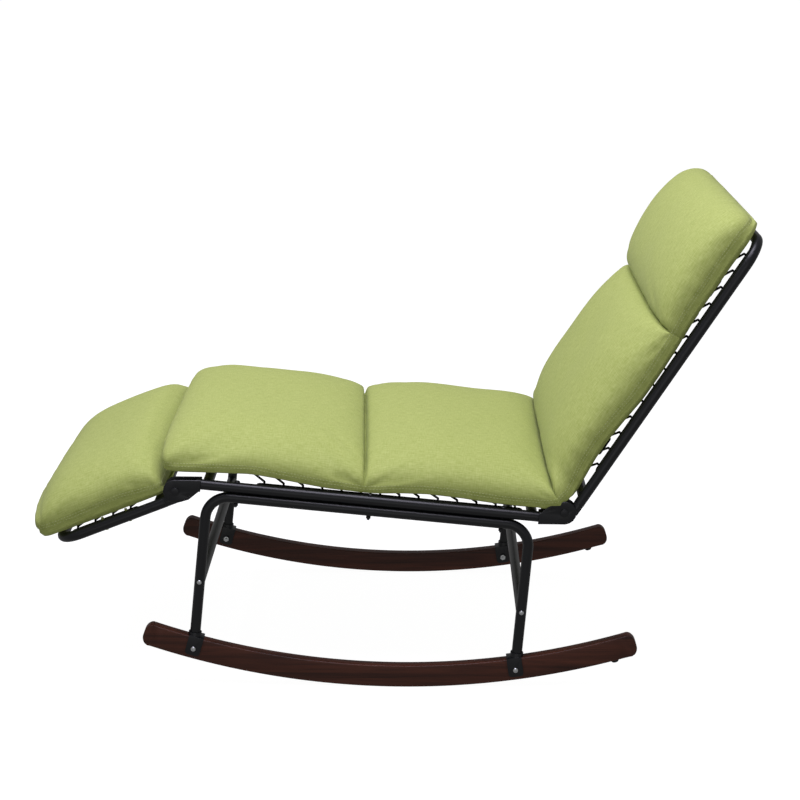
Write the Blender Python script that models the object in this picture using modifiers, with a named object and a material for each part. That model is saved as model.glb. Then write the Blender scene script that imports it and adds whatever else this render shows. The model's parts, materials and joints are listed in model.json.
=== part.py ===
"""Rocker recliner: a tubular steel lounger with a laced sling and cushions on wooden rockers.

Metres, +Z up. +X runs from the foot end to the head end, and -Y is the sitter's left.
The chair is drawn level in its own frame: X along the seat tubes, Z square to them.
The empty that carries it leans back by REST_TILT, the way the chair stands when nobody sits in it.
"""

from math import asin, ceil, cos, hypot, pi, radians, sin, tan

import bmesh
import bpy
import numpy as np
from mathutils import Matrix, Vector

# Stance
REST_TILT = radians(5.5)

# Frame tubes
TUBE_D = 0.019
SIDE_Y = 0.295
FIT = 0.0003
CROSS_TUBE_X = 0.290
CORNER_R = 0.045

# Ratchet hinges
HINGE_X = 0.345
HINGE_OFFSET = 0.0145
CLICK = radians(9.0)
CLICKS = 8
BACK_CLICKS = 7
LEG_CLICKS = 3
PIN_D = 0.008
PIN_HEAD_D = 0.015
PIN_HEAD_H = 0.002
CHEEK_T = 0.0025
CHEEK_REACH = 0.0445
CHEEK_LOBE_R = 0.0215
CHEEK_CHAMFER = 0.0012
CHEEK_MARGIN = 0.0015
CHEEK_LIP = 0.003
TUBE_SETBACK = 0.036
GEAR_TIP_R = 0.0135
GEAR_TOOTH_H = 0.0020
GEAR_T = 0.012
ARM_START = 0.006
ARM_END = 0.026
PAWL_X = -0.0235
PAWL_Z = 0.0055
PAWL_HUB_R = 0.0035
PAWL_T = 0.010
PAWL_TRUNNION_D = 0.004
PAWL_CLEARANCE = 0.0004
PAWL_COVER = 0.004
PAWL_NOSE_W = 0.0020
PAWL_NOSE_TOP = -0.0006
PAWL_NOSE_LOW = -0.0030

# Backrest and legrest frames, from the hinge axis to the axes of the end tube and the cross tube
BACK_LENGTH = 0.581
LEG_LENGTH = 0.2345
SWING_CROSS_S = 0.040
SWING_CROSS_GAP = 0.003

# Leg frames and stretchers
LEG_SPAN = 0.577
LEG_SPLAY = radians(0.8)
LEG_BEND_R = 0.042
STRETCHER_DROP = 0.182
SEAT_BOLT_FROM_LEG = 0.0515
SEAT_BOLT_D = 0.005
SEAT_BOLT_HEAD_D = 0.010
SEAT_BOLT_HEAD_H = 0.0035
SEAT_NUT_D = 0.009
SEAT_NUT_H = 0.0045
SEAT_BOLT_TIP = 0.003

# Rockers
ROCKER_R = 1.400
ROCKER_H = 0.041
ROCKER_T = 0.021
ROCKER_CENTRE_X = -0.0411
ROCKER_CENTRE_Z = 1.0467
ROCKER_FRONT = radians(14.4)
ROCKER_REAR = radians(23.25)
ROCKER_STEP = radians(3.7)
TOP_FINER = 3
NOSE_SHARE = 0.42
ROCKER_BOLT_D = 0.006
ROCKER_BOLT_HEAD_D = 0.0095
ROCKER_BOLT_HEAD_H = 0.0035
ROCKER_NUT_D = 0.0115
ROCKER_NUT_H = 0.005
STOP_ANGLE = radians(21.4)
STOP_D = 0.015
STOP_H = 0.006

# Foot brackets
BRACKET_L = 0.027
BRACKET_T = 0.0025
BRACKET_BELOW_BOLT = 0.013
BRACKET_CORNER_R = 0.006
COLLAR_T = 0.002
COLLAR_H = 0.0045

# Lacing rails, slings and lacing
RAIL_D = 0.005
RAIL_IN = 0.017
RAIL_UP = 0.005
SLING_T = 0.002
SLING_EDGE_IN = 0.072
EYELET_IN = 0.079
EYELET_R = 0.0036
CORD_D = 0.0036
LACE_PITCH = 0.0345
LACE_SLANT = 0.5
SEAT_LACE_START = -0.190
SEAT_LACE_TURNS = 13
BACK_LACE_START = 0.102
BACK_LACE_TURNS = 11
LEG_LACE_FROM_END = 0.039
LEG_LACE_TURNS = 3
SLING_HEM = 0.010
RAIL_PAST_LACE = 0.012

# Cushions, heights taken from the axis of the tube below
CUSHION_W = 0.600
CUSHION_BASE = 0.020
CUSHION_REST_HALF = 0.160
CUSHION_EDGE = 0.014
SEAT_FRONT_X = -0.364
SEAT_SEAM_X = -0.018
SEAT_CROWN = 0.0865
BACK_SEAM_S = 0.370
BACK_TOP_S = 0.609
BACK_CROWN = 0.092
HEAD_CROWN = 0.091
LEG_CUSHION_START = 0.023
LEG_CUSHION_END = 0.260
LEG_CROWN = 0.088
SEAM_SHARE = 0.50
CREASE_SHARE = 0.42
CROWN_RUN = 0.110
SEAM_PULL = 0.008
CREASE_GAP = 0.001
CHEEK_GAP = 0.001

# Worked out from the sizes above
TUBE_R = TUBE_D / 2
BACK_ANGLE = BACK_CLICKS * CLICK
LEG_ANGLE = LEG_CLICKS * CLICK
SEAT_TUBE_END = HINGE_X - TUBE_SETBACK
SEAT_BOLT_X = LEG_SPAN / 2 - SEAT_BOLT_FROM_LEG
LACE_SHIFT = LACE_SLANT * (EYELET_IN - RAIL_IN)
CHEEK_IN = TUBE_R + FIT
CHEEK_OUT = CHEEK_IN + CHEEK_T
LEG_TOP_Z = -(TUBE_D + FIT)
PLATE_TOP = ROCKER_H / 2 + FIT + BRACKET_T
PIVOTS = {
    "rear": Vector((HINGE_X, 0, HINGE_OFFSET)),
    "front": Vector((-HINGE_X, 0, -HINGE_OFFSET)),
}
SIDES = {"left": -1, "right": 1}

TUBE_SIDES = 4
FINE_SIDES = 2
CORD_SIDES = 1
TURNED_STEPS = 10


# Scene, collections and finishes

def clear_scene():
    for old in list(bpy.data.objects):
        bpy.data.objects.remove(old)


def new_collection(name):
    collection = bpy.data.collections.new(name)
    bpy.context.scene.collection.children.link(collection)
    return collection


def finish(name, colour, roughness, metallic=0.0):
    material = bpy.data.materials.new(name)
    material.use_nodes = True
    shader = material.node_tree.nodes["Principled BSDF"]
    shader.inputs["Base Color"].default_value = (*colour, 1.0)
    shader.inputs["Roughness"].default_value = roughness
    shader.inputs["Metallic"].default_value = metallic
    return material


clear_scene()
PARTS = new_collection("rocker_recliner")
CUTTERS = new_collection("cutters")

BLACK_STEEL = finish("black_powder_coated_steel", (0.010, 0.011, 0.013), 0.38, 0.0)
ZINC = finish("zinc_plated_steel", (0.62, 0.62, 0.60), 0.30, 1.0)
WALNUT = finish("dark_walnut", (0.036, 0.014, 0.010), 0.45)
RUBBER = finish("black_rubber", (0.012, 0.012, 0.012), 0.80)
GREEN_CANVAS = finish("apple_green_canvas", (0.35, 0.41, 0.10), 0.90)
BLACK_CANVAS = finish("black_sling_canvas", (0.015, 0.015, 0.016), 0.90)
BLACK_CORD = finish("black_elastic_cord", (0.012, 0.012, 0.013), 0.75)


# Outlines and paths

def arc(centre, radius, start, end, steps):
    """Points on a circle from angle start to angle end, both included."""
    turns = [start + (end - start) * k / steps for k in range(steps + 1)]
    return [(centre[0] + radius * cos(t), centre[1] + radius * sin(t)) for t in turns]


def circle(centre, radius, steps):
    return arc(centre, radius, 0, 2 * pi, steps)[:-1]


def bent_path(corners, radius, steps=6):
    """A path through the corners, each inner corner rounded to the bend radius."""
    path = [Vector(corners[0])]
    for before, corner, after in zip(corners, corners[1:], corners[2:]):
        corner = Vector(corner)
        back = (Vector(before) - corner).normalized()
        ahead = (Vector(after) - corner).normalized()
        half = back.angle(ahead) / 2
        middle = corner + (back + ahead).normalized() * radius / sin(half)
        first = corner + back * radius / tan(half) - middle
        last = corner + ahead * radius / tan(half) - middle
        sweep = first.angle(last)
        for k in range(steps + 1):
            share = k / steps
            point = first * sin((1 - share) * sweep) + last * sin(share * sweep)
            path.append(middle + point / sin(sweep))
    path.append(Vector(corners[-1]))
    return path


# Solids

def add_object(name, data, parent=None, location=(0, 0, 0), rotation=(0, 0, 0)):
    obj = bpy.data.objects.new(name, data)
    PARTS.objects.link(obj)
    obj.parent = parent
    obj.location = location
    obj.rotation_euler = rotation
    bpy.context.view_layer.update()
    return obj


def to_mesh(obj):
    """Replace a curve, or an object with modifiers, by its evaluated mesh, caps welded."""
    bpy.context.view_layer.update()
    evaluated = obj.evaluated_get(bpy.context.evaluated_depsgraph_get())
    mesh = bpy.data.meshes.new_from_object(evaluated)
    bm = bmesh.new()
    bm.from_mesh(mesh)
    bmesh.ops.remove_doubles(bm, verts=bm.verts, dist=1e-6)
    bmesh.ops.recalc_face_normals(bm, faces=bm.faces)
    bm.to_mesh(mesh)
    bm.free()
    name = obj.name
    parent = obj.parent
    world = obj.matrix_world.copy()
    material = obj.data.materials[0] if obj.data.materials else None
    bpy.data.objects.remove(obj)
    new = bpy.data.objects.new(name, mesh)
    PARTS.objects.link(new)
    new.parent = parent
    new.matrix_world = world
    mesh.materials.clear()
    if material:
        mesh.materials.append(material)
    bpy.context.view_layer.update()
    return new


def round_bar(name, path, diameter, parent, material, sides=TUBE_SIDES):
    """A tube, wire or cord along a path given in the parent's frame."""
    curve = bpy.data.curves.new(name, "CURVE")
    curve.dimensions = "3D"
    curve.bevel_depth = diameter / 2
    curve.bevel_resolution = sides
    curve.use_fill_caps = True
    spline = curve.splines.new("POLY")
    spline.points.add(len(path) - 1)
    for point, place in zip(spline.points, path):
        point.co = (*place, 1.0)
    curve.materials.append(material)
    return to_mesh(add_object(name, curve, parent))


def plate(name, loops, thickness, parent, material, location=(0, 0, 0), turn=0.0):
    """A flat plate square to Y: the first loop is its outline in X and Z, the others are holes."""
    curve = bpy.data.curves.new(name, "CURVE")
    curve.dimensions = "2D"
    curve.fill_mode = "BOTH"
    curve.extrude = thickness / 2
    for loop in loops:
        spline = curve.splines.new("POLY")
        spline.use_cyclic_u = True
        spline.points.add(len(loop) - 1)
        for point, (x, z) in zip(spline.points, loop):
            point.co = (x, z, 0.0, 1.0)
    curve.materials.append(material)
    upright = Matrix.Rotation(turn, 4, "Y") @ Matrix.Rotation(pi / 2, 4, "X")
    obj = add_object(name, curve, parent, location, upright.to_euler())
    return to_mesh(obj)


def turned(name, profile, parent, material, location=(0, 0, 0), rotation=(0, 0, 0)):
    """A turned piece: a profile of (radius, height), top to bottom, swept round its Z axis."""
    mesh = bpy.data.meshes.new(name)
    edges = [(k, k + 1) for k in range(len(profile) - 1)]
    mesh.from_pydata([(r, 0, z) for r, z in profile], edges, [])
    mesh.materials.append(material)
    obj = add_object(name, mesh, parent, location, rotation)
    screw = obj.modifiers.new("turn", "SCREW")
    screw.steps = TURNED_STEPS
    screw.render_steps = TURNED_STEPS
    screw.merge_threshold = 0.00001
    screw.use_merge_vertices = True
    return to_mesh(obj)


def cylinder(name, start, end, diameter, parent, material, sides=12):
    """A straight round bar between two points, for bores and pegs."""
    start = Vector(start)
    along = Vector(end) - start
    bm = bmesh.new()
    turn = along.to_track_quat("Z", "Y").to_matrix().to_4x4()
    place = Matrix.Translation(start + along / 2) @ turn
    bmesh.ops.create_cone(bm, cap_ends=True, segments=sides, radius1=diameter / 2,
                          radius2=diameter / 2, depth=along.length, matrix=place)
    mesh = bpy.data.meshes.new(name)
    bm.to_mesh(mesh)
    bm.free()
    mesh.materials.append(material)
    return add_object(name, mesh, parent)


def combine(body, tool, operation):
    """Join a tool to a body, or cut it out, and keep the tool as a hidden guide."""
    modifier = body.modifiers.new(operation.lower(), "BOOLEAN")
    modifier.operation = operation
    modifier.solver = "EXACT"
    modifier.object = tool
    result = to_mesh(body)
    PARTS.objects.unlink(tool)
    CUTTERS.objects.link(tool)
    tool.hide_render = True
    tool.display_type = "WIRE"
    return result


# Carrying frames

def empty(name, parent=None, location=(0, 0, 0), rotation=(0, 0, 0)):
    return add_object(name, None, parent, location, rotation)


def standing_height():
    """Height of the seat tubes' middle when the rockers stand on their lowest facet."""
    centre = -ROCKER_CENTRE_X * sin(REST_TILT) + ROCKER_CENTRE_Z * cos(REST_TILT)
    return ROCKER_R * cos(ROCKER_STEP / 2) - centre


CHAIR = empty("chair_frame", None, (0, 0, standing_height()), (0, REST_TILT, 0))
BACKREST = empty("backrest_axis", CHAIR, PIVOTS["rear"], (0, -BACK_ANGLE, 0))
LEGREST = empty("legrest_axis", CHAIR, PIVOTS["front"], (0, -LEG_ANGLE, 0))


# Rockers, stops and foot brackets

def rocker_point(angle, radius):
    """A point at an angle behind straight down and a radius, from the rocker's centre."""
    return (ROCKER_CENTRE_X + radius * sin(angle), ROCKER_CENTRE_Z - radius * cos(angle))


def foot_bolt(end):
    """Where a leg's axis crosses the middle of the rocker, and the rocker's slope there."""
    sign = -1 if end == "front" else 1
    radius = ROCKER_R - ROCKER_H / 2
    drop = 0.3
    for _ in range(20):
        x = sign * (LEG_SPAN / 2 + (drop + LEG_TOP_Z) * tan(LEG_SPLAY))
        angle = asin((x - ROCKER_CENTRE_X) / radius)
        drop = radius * cos(angle) - ROCKER_CENTRE_Z
    return Vector((x, 0, -drop)), angle


def facet_angles():
    """Facet corners along the bottom, with one facet centred under the standing chair."""
    first = ceil((-ROCKER_FRONT - REST_TILT) / ROCKER_STEP - 0.5) + 0.5
    angles = []
    while REST_TILT + first * ROCKER_STEP < ROCKER_REAR:
        angles.append(REST_TILT + first * ROCKER_STEP)
        first += 1
    return angles


def build_rockers():
    inner = ROCKER_R - ROCKER_H
    nose = ROCKER_H * NOSE_SHARE
    front_in = -ROCKER_FRONT + nose / ROCKER_R
    rear_in = ROCKER_REAR - nose / ROCKER_R
    inside = [a for a in facet_angles() if front_in < a < rear_in]
    bottom = [rocker_point(a, ROCKER_R) for a in [front_in, *inside, rear_in]]
    count = ceil((rear_in - front_in) / ROCKER_STEP * TOP_FINER)
    top = [rocker_point(rear_in + (front_in - rear_in) * k / count, inner) for k in range(count + 1)]
    shares = [0.25, 0.5, 0.75]
    rear_end = [rocker_point(rear_in + nose / ROCKER_R * sin(pi * s), ROCKER_R - ROCKER_H * s)
                for s in shares]
    front_end = [rocker_point(front_in - nose / ROCKER_R * sin(pi * s), inner + ROCKER_H * s)
                 for s in shares]
    outline = bottom + rear_end + top + front_end
    holes = []
    for end in ("front", "rear"):
        bolt, _ = foot_bolt(end)
        holes.append(circle((bolt.x, bolt.z), ROCKER_BOLT_D / 2 + FIT, 10))
    facet = round((STOP_ANGLE - REST_TILT) / ROCKER_STEP)
    middle = REST_TILT + facet * ROCKER_STEP
    flat_r = ROCKER_R * cos(ROCKER_STEP / 2)
    x, z = rocker_point(middle, flat_r + FIT)
    slide = flat_r * tan(STOP_ANGLE - middle)
    stop_at = Vector((x + slide * cos(middle), 0, z + slide * sin(middle)))
    stop_profile = [(0, 0), (STOP_D / 2, 0), (STOP_D / 2, -STOP_H * 0.6),
                    (STOP_D * 0.36, -STOP_H), (0, -STOP_H)]
    for side, sign in SIDES.items():
        shift = Vector((0, sign * SIDE_Y, 0))
        plate(f"rocker_{side}", [outline, *holes], ROCKER_T, CHAIR, WALNUT, shift)
        turned(f"rocker_stop_{side}", stop_profile, CHAIR, RUBBER, stop_at + shift, (0, -middle, 0))


def leg_end_distance(lean):
    """Distance up the leg's axis from its foot bolt to the tube's end."""
    return PLATE_TOP / cos(lean) + TUBE_R * tan(abs(lean)) + FIT


def build_bracket(name, end, sign):
    """A saddle over the rocker with a collar that takes the leg, drawn about its bolt."""
    bolt, slope = foot_bolt(end)
    lean = slope + (-LEG_SPLAY if end == "rear" else LEG_SPLAY)
    half_in = ROCKER_T / 2 + FIT
    half_out = half_in + BRACKET_T
    inside_top = ROCKER_H / 2 + FIT
    section = [(-half_out, -BRACKET_BELOW_BOLT), (-half_in, -BRACKET_BELOW_BOLT),
               (-half_in, inside_top), (half_in, inside_top), (half_in, -BRACKET_BELOW_BOLT),
               (half_out, -BRACKET_BELOW_BOLT), (half_out, PLATE_TOP), (-half_out, PLATE_TOP)]
    saddle = plate(name, [section], BRACKET_L, CHAIR, BLACK_STEEL)
    bm = bmesh.new()
    bm.from_mesh(saddle.data)
    bm.transform(Matrix.Rotation(pi / 2, 4, "Y"))
    corners = [e for e in bm.edges if abs(e.calc_length() - BRACKET_T) < FIT
               and max(v.co.y for v in e.verts) < FIT - BRACKET_BELOW_BOLT]
    bmesh.ops.bevel(bm, geom=corners, offset=BRACKET_CORNER_R, segments=3, profile=0.5,
                    affect="EDGES", material=-1)
    bm.to_mesh(saddle.data)
    bm.free()
    saddle.location = bolt + Vector((0, sign * SIDE_Y, 0))
    saddle.rotation_euler = (Matrix.Rotation(-slope, 4, "Y")
                             @ Matrix.Rotation(pi / 2, 4, "X")).to_euler()
    bpy.context.view_layer.update()
    frame = empty(f"{name}_frame", CHAIR, saddle.location, (0, -slope, 0))
    axis = Vector((sin(lean), 0, cos(lean)))
    seat = leg_end_distance(lean) - FIT
    collar_d = TUBE_D + 2 * (FIT + COLLAR_T)
    collar = cylinder(f"{name}_collar", axis * ROCKER_H / 4, axis * (seat + COLLAR_H),
                      collar_d, frame, BLACK_STEEL, 16)
    saddle = combine(saddle, collar, "UNION")
    slot_outline = [(-BRACKET_L, -ROCKER_H), (BRACKET_L, -ROCKER_H),
                    (BRACKET_L, inside_top), (-BRACKET_L, inside_top)]
    slot = plate(f"{name}_slot", [slot_outline], 2 * half_in, frame, BLACK_STEEL)
    saddle = combine(saddle, slot, "DIFFERENCE")
    bore = cylinder(f"{name}_bore", axis * seat, axis * (seat + 2 * COLLAR_H),
                    TUBE_D + 2 * FIT, frame, BLACK_STEEL, 16)
    saddle = combine(saddle, bore, "DIFFERENCE")
    hole = cylinder(f"{name}_hole", (0, -ROCKER_T, 0), (0, ROCKER_T, 0),
                    ROCKER_BOLT_D + 2 * FIT, frame, BLACK_STEEL, 10)
    combine(saddle, hole, "DIFFERENCE")


def build_rocker_bolt(name, end, sign):
    """A dome-headed bolt through bracket and rocker, its nut on the inside."""
    bolt, _ = foot_bolt(end)
    grip = ROCKER_T / 2 + FIT + BRACKET_T + FIT
    shank = ROCKER_BOLT_D / 2
    head = ROCKER_BOLT_HEAD_D / 2
    nut = ROCKER_NUT_D / 2
    profile = [(0, grip + ROCKER_BOLT_HEAD_H), (head * 0.6, grip + ROCKER_BOLT_HEAD_H * 0.85),
               (head, grip + ROCKER_BOLT_HEAD_H * 0.3), (head, grip), (shank, grip),
               (shank, -grip), (nut, -grip), (nut, -grip - ROCKER_NUT_H),
               (shank, -grip - ROCKER_NUT_H), (0, -grip - ROCKER_NUT_H)]
    turned(name, profile, CHAIR, ZINC, bolt + Vector((0, sign * SIDE_Y, 0)), (-sign * pi / 2, 0, 0))


# Leg frames, stretchers and the seat frame

def build_leg_frames():
    corners = []
    for end, sign in (("front", -1), ("rear", 1)):
        bolt, slope = foot_bolt(end)
        lean = slope - sign * LEG_SPLAY
        up = Vector((-sign * sin(LEG_SPLAY), 0, cos(LEG_SPLAY)))
        foot = bolt + up * leg_end_distance(lean)
        top = Vector((sign * LEG_SPAN / 2, 0, LEG_TOP_Z))
        corners.append((foot, top))
    path = bent_path([corners[0][0], corners[0][1], corners[1][1], corners[1][0]], LEG_BEND_R)
    for side, sign in SIDES.items():
        shift = Vector((0, sign * SIDE_Y, 0))
        frame = round_bar(f"leg_frame_{side}", [p + shift for p in path], TUBE_D, CHAIR, BLACK_STEEL)
        drill_seat_bolts(frame, sign)
    reach = SIDE_Y - TUBE_R - FIT
    x = LEG_SPAN / 2 + (STRETCHER_DROP + LEG_TOP_Z) * tan(LEG_SPLAY)
    for end, sign in (("front", -1), ("rear", 1)):
        path = [(sign * x, -reach, -STRETCHER_DROP), (sign * x, reach, -STRETCHER_DROP)]
        round_bar(f"stretcher_{end}", path, TUBE_D, CHAIR, BLACK_STEEL)


def drill_seat_bolts(tube, sign):
    """Cut the three upright bolt holes through a seat tube or the leg frame under it."""
    name = tube.name
    for x in (-SEAT_BOLT_X, 0, SEAT_BOLT_X):
        start = (x, sign * SIDE_Y, LEG_TOP_Z - TUBE_D)
        end = (x, sign * SIDE_Y, TUBE_D)
        drill = cylinder(f"{name}_drill", start, end, SEAT_BOLT_D + 2 * FIT, CHAIR, BLACK_STEEL, 8)
        tube = combine(tube, drill, "DIFFERENCE")
    return tube


def build_seat_bolts():
    top = TUBE_R + FIT
    foot = LEG_TOP_Z - TUBE_R - FIT
    shank = SEAT_BOLT_D / 2
    head = SEAT_BOLT_HEAD_D / 2
    nut = SEAT_NUT_D / 2
    profile = [(0, top + SEAT_BOLT_HEAD_H), (head * 0.7, top + SEAT_BOLT_HEAD_H * 0.8), (head, top),
               (shank, top), (shank, foot), (nut, foot), (nut, foot - SEAT_NUT_H),
               (shank, foot - SEAT_NUT_H), (shank, foot - SEAT_NUT_H - SEAT_BOLT_TIP),
               (0, foot - SEAT_NUT_H - SEAT_BOLT_TIP)]
    for side, sign in SIDES.items():
        for place, x in (("front", -SEAT_BOLT_X), ("middle", 0), ("rear", SEAT_BOLT_X)):
            turned(f"seat_bolt_{place}_{side}", profile, CHAIR, ZINC, (x, sign * SIDE_Y, 0))


def add_rail(tube, sign, parent, start, end, tube_z):
    """Weld a wire rail to the inner side of a tube, its two ends bent back into the tube."""
    name = f"{tube.name}_rail"
    outside = sign * SIDE_Y
    inside = sign * (SIDE_Y - RAIL_IN)
    corners = [(start, outside, tube_z), (start, inside, tube_z + RAIL_UP),
               (end, inside, tube_z + RAIL_UP), (end, outside, tube_z)]
    rail = round_bar(name, bent_path(corners, RAIL_D, 2), RAIL_D, parent, BLACK_STEEL, FINE_SIDES)
    return combine(tube, rail, "UNION")


def lace_span(start, turns):
    """Where the first and the last strand of a lacing leave the rail."""
    return start, start + turns * LACE_PITCH


def sling_span(lace, slant):
    """A sling's two ends: a hem past the outermost eyelets."""
    low, high = lace
    return low + slant - SLING_HEM, high + slant + SLING_HEM


def build_seat_frame(seat_lace):
    low, high = seat_lace
    for side, sign in SIDES.items():
        path = [(-SEAT_TUBE_END, sign * SIDE_Y, 0), (SEAT_TUBE_END, sign * SIDE_Y, 0)]
        tube = round_bar(f"seat_tube_{side}", path, TUBE_D, CHAIR, BLACK_STEEL)
        tube = add_rail(tube, sign, CHAIR, low - RAIL_PAST_LACE, high + RAIL_PAST_LACE, 0)
        drill_seat_bolts(tube, sign)
    reach = SIDE_Y - TUBE_R - FIT
    for end, sign in (("front", -1), ("rear", 1)):
        path = [(sign * CROSS_TUBE_X, -reach, 0), (sign * CROSS_TUBE_X, reach, 0)]
        round_bar(f"seat_cross_tube_{end}", path, TUBE_D, CHAIR, BLACK_STEEL)


def build_swing_frame(name, parent, direction, length, tube_z, lace):
    """The U tube of the backrest or the legrest, with a cross tube welded in near its hinge arms."""
    start = direction * (ARM_END + FIT)
    end = direction * length
    corners = [(start, -SIDE_Y, tube_z), (end, -SIDE_Y, tube_z),
               (end, SIDE_Y, tube_z), (start, SIDE_Y, tube_z)]
    tube = round_bar(name, bent_path(corners, CORNER_R), TUBE_D, parent, BLACK_STEEL)
    reach = SIDE_Y - SWING_CROSS_GAP
    cross_at = direction * SWING_CROSS_S
    cross = round_bar(f"{name}_cross", [(cross_at, -reach, tube_z), (cross_at, reach, tube_z)], TUBE_D,
                      parent, BLACK_STEEL)
    tube = combine(tube, cross, "UNION")
    low, high = lace
    for sign in SIDES.values():
        tube = add_rail(tube, sign, parent, low - RAIL_PAST_LACE, high + RAIL_PAST_LACE, tube_z)


# Ratchet hinges

def cheek_outline():
    """One cheek about the hinge pin: a clamp end on the seat tube and a round lobe."""
    low = -HINGE_OFFSET - TUBE_R - CHEEK_MARGIN
    high = -HINGE_OFFSET + TUBE_R + CHEEK_MARGIN
    lobe = arc((0, 0), CHEEK_LOBE_R, radians(-80), radians(115), 9)
    shoulder = PAWL_Z + PAWL_HUB_R + PAWL_COVER
    lip = CHEEK_LIP - CHEEK_REACH
    return [(-CHEEK_REACH, high), (-CHEEK_REACH, low), *lobe,
            (lip + shoulder - high, shoulder), (lip, high)]


def gear_outline():
    """The arm's toothed disc: a sawtooth for every click, and a plain rim elsewhere."""
    root = GEAR_TIP_R - GEAR_TOOTH_H
    points = []
    for k in range(-1, CLICKS + 2):
        gap = pi - k * CLICK
        points.append((root * cos(gap), root * sin(gap)))
        tip = gap - CLICK / 6
        points.append((GEAR_TIP_R * cos(tip), GEAR_TIP_R * sin(tip)))
    last = pi - (CLICKS + 2) * CLICK
    first = pi + CLICK - 2 * pi
    return points + arc((0, 0), root, last, first + CLICK, 12)


def pawl_outline():
    """A finger from the pawl's hub to a nose that stands just clear of the teeth."""
    reach = GEAR_TIP_R + PAWL_CLEARANCE
    hub = arc((PAWL_X, PAWL_Z), PAWL_HUB_R, radians(60), radians(250), 6)
    return [*hub, (-reach - PAWL_NOSE_W, PAWL_NOSE_LOW), (-reach, PAWL_NOSE_TOP)]


def build_hinge(end, side, arm_frame):
    """Two cheeks, a toothed arm, a pawl and a pin; the front hinge is the rear one turned over.

    Both swinging tubes lie under their pins, so the front arm carries its tube on the other side.
    """
    sign = SIDES[side]
    turn = 0 if end == "rear" else pi
    at = PIVOTS[end] + Vector((0, sign * SIDE_Y, 0))
    hinge = empty(f"hinge_{end}_{side}", CHAIR, at, (0, turn, 0))
    bore = circle((0, 0), PIN_D / 2 + FIT, 12)
    trunnion = circle((PAWL_X, PAWL_Z), PAWL_TRUNNION_D / 2 + FIT, 8)
    middle = (CHEEK_IN + CHEEK_OUT) / 2
    for face, out in (("outer", sign), ("inner", -sign)):
        name = f"hinge_{end}_{side}_{face}_cheek"
        cheek = plate(name, [cheek_outline(), bore, trunnion], CHEEK_T, hinge, BLACK_STEEL,
                      (0, out * middle, 0))
        chamfer_rim(cheek, out)
    arm = empty(f"hinge_{end}_{side}_arm", arm_frame, (0, sign * SIDE_Y, 0),
                (0, 0 if end == "rear" else pi, 0))
    name = f"hinge_{end}_{side}_gear_arm"
    gear = plate(name, [gear_outline()], GEAR_T, arm, BLACK_STEEL)
    boss_z = -HINGE_OFFSET if end == "rear" else HINGE_OFFSET
    boss = cylinder(f"{name}_boss", (ARM_START, 0, boss_z), (ARM_END, 0, boss_z), TUBE_D, arm,
                    BLACK_STEEL, 12)
    gear = combine(gear, boss, "UNION")
    drill = cylinder(f"{name}_bore", (0, -GEAR_T, 0), (0, GEAR_T, 0), PIN_D + 2 * FIT, arm,
                     BLACK_STEEL, 12)
    combine(gear, drill, "DIFFERENCE")
    pawl_axis = empty(f"hinge_{end}_{side}_pawl_axis", hinge, (PAWL_X, 0, PAWL_Z))
    name = f"hinge_{end}_{side}_pawl"
    outline = [(x - PAWL_X, z - PAWL_Z) for x, z in pawl_outline()]
    pawl = plate(name, [outline], PAWL_T, pawl_axis, ZINC)
    stub = CHEEK_OUT - FIT
    peg = cylinder(f"{name}_trunnion", (0, -stub, 0), (0, stub, 0), PAWL_TRUNNION_D, pawl_axis, ZINC, 8)
    combine(pawl, peg, "UNION")
    grip = CHEEK_OUT + FIT
    head = PIN_HEAD_D / 2
    profile = [(0, grip + PIN_HEAD_H), (head * 0.75, grip + PIN_HEAD_H * 0.8), (head, grip),
               (PIN_D / 2, grip), (PIN_D / 2, -grip), (head, -grip),
               (head * 0.75, -grip - PIN_HEAD_H * 0.8), (0, -grip - PIN_HEAD_H)]
    turned(f"hinge_{end}_{side}_pin", profile, hinge, BLACK_STEEL, (0, 0, 0), (pi / 2, 0, 0))


def chamfer_rim(cheek, out):
    """Break the rim of a cheek's outside face, as its pressing has."""
    bm = bmesh.new()
    bm.from_mesh(cheek.data)
    face_side = -out
    rim = [e for e in bm.edges
           if all(v.co.z * face_side > 0 for v in e.verts)
           and len(e.link_faces) == 2
           and abs(e.link_faces[0].normal.z) + abs(e.link_faces[1].normal.z) < 1.5
           and abs(e.link_faces[0].normal.z - e.link_faces[1].normal.z) > 0.5
           and all(hypot(v.co.x, v.co.y) > PIN_D and
                   hypot(v.co.x - PAWL_X, v.co.y - PAWL_Z) > PAWL_TRUNNION_D for v in e.verts)]
    bmesh.ops.bevel(bm, geom=rim, offset=CHEEK_CHAMFER, segments=1, profile=0.5,
                    affect="EDGES", material=-1)
    bm.to_mesh(cheek.data)
    bm.free()


# Slings and lacing

def lace_path(start, turns, sign, tube_z, slant):
    """A cord in slanting strands between rail and sling: over the rail, along it, back, through an eyelet.

    Strands leave the rail one pitch apart. Slant is how far an eyelet lies from its strand's start.
    """
    wrap = (RAIL_D / 2 + CORD_D / 2 + FIT) / cos(pi / 8)
    lift = (SLING_T + CORD_D) / 2 + FIT
    over = [(RAIL_IN + wrap * cos(a), wrap * sin(a)) for a in (pi / 2, pi * 3 / 4, pi)]
    path = []
    for k in range(turns + 1):
        x = start + k * LACE_PITCH
        strand = [(x + slant, EYELET_IN, -lift), (x + slant, EYELET_IN, lift)]
        strand += [(x, inset, z) for inset, z in over]
        path.extend(strand if k % 2 == 0 else reversed(strand))
    return [Vector((x, sign * (SIDE_Y - inset), tube_z + RAIL_UP + z)) for x, inset, z in path]


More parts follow.
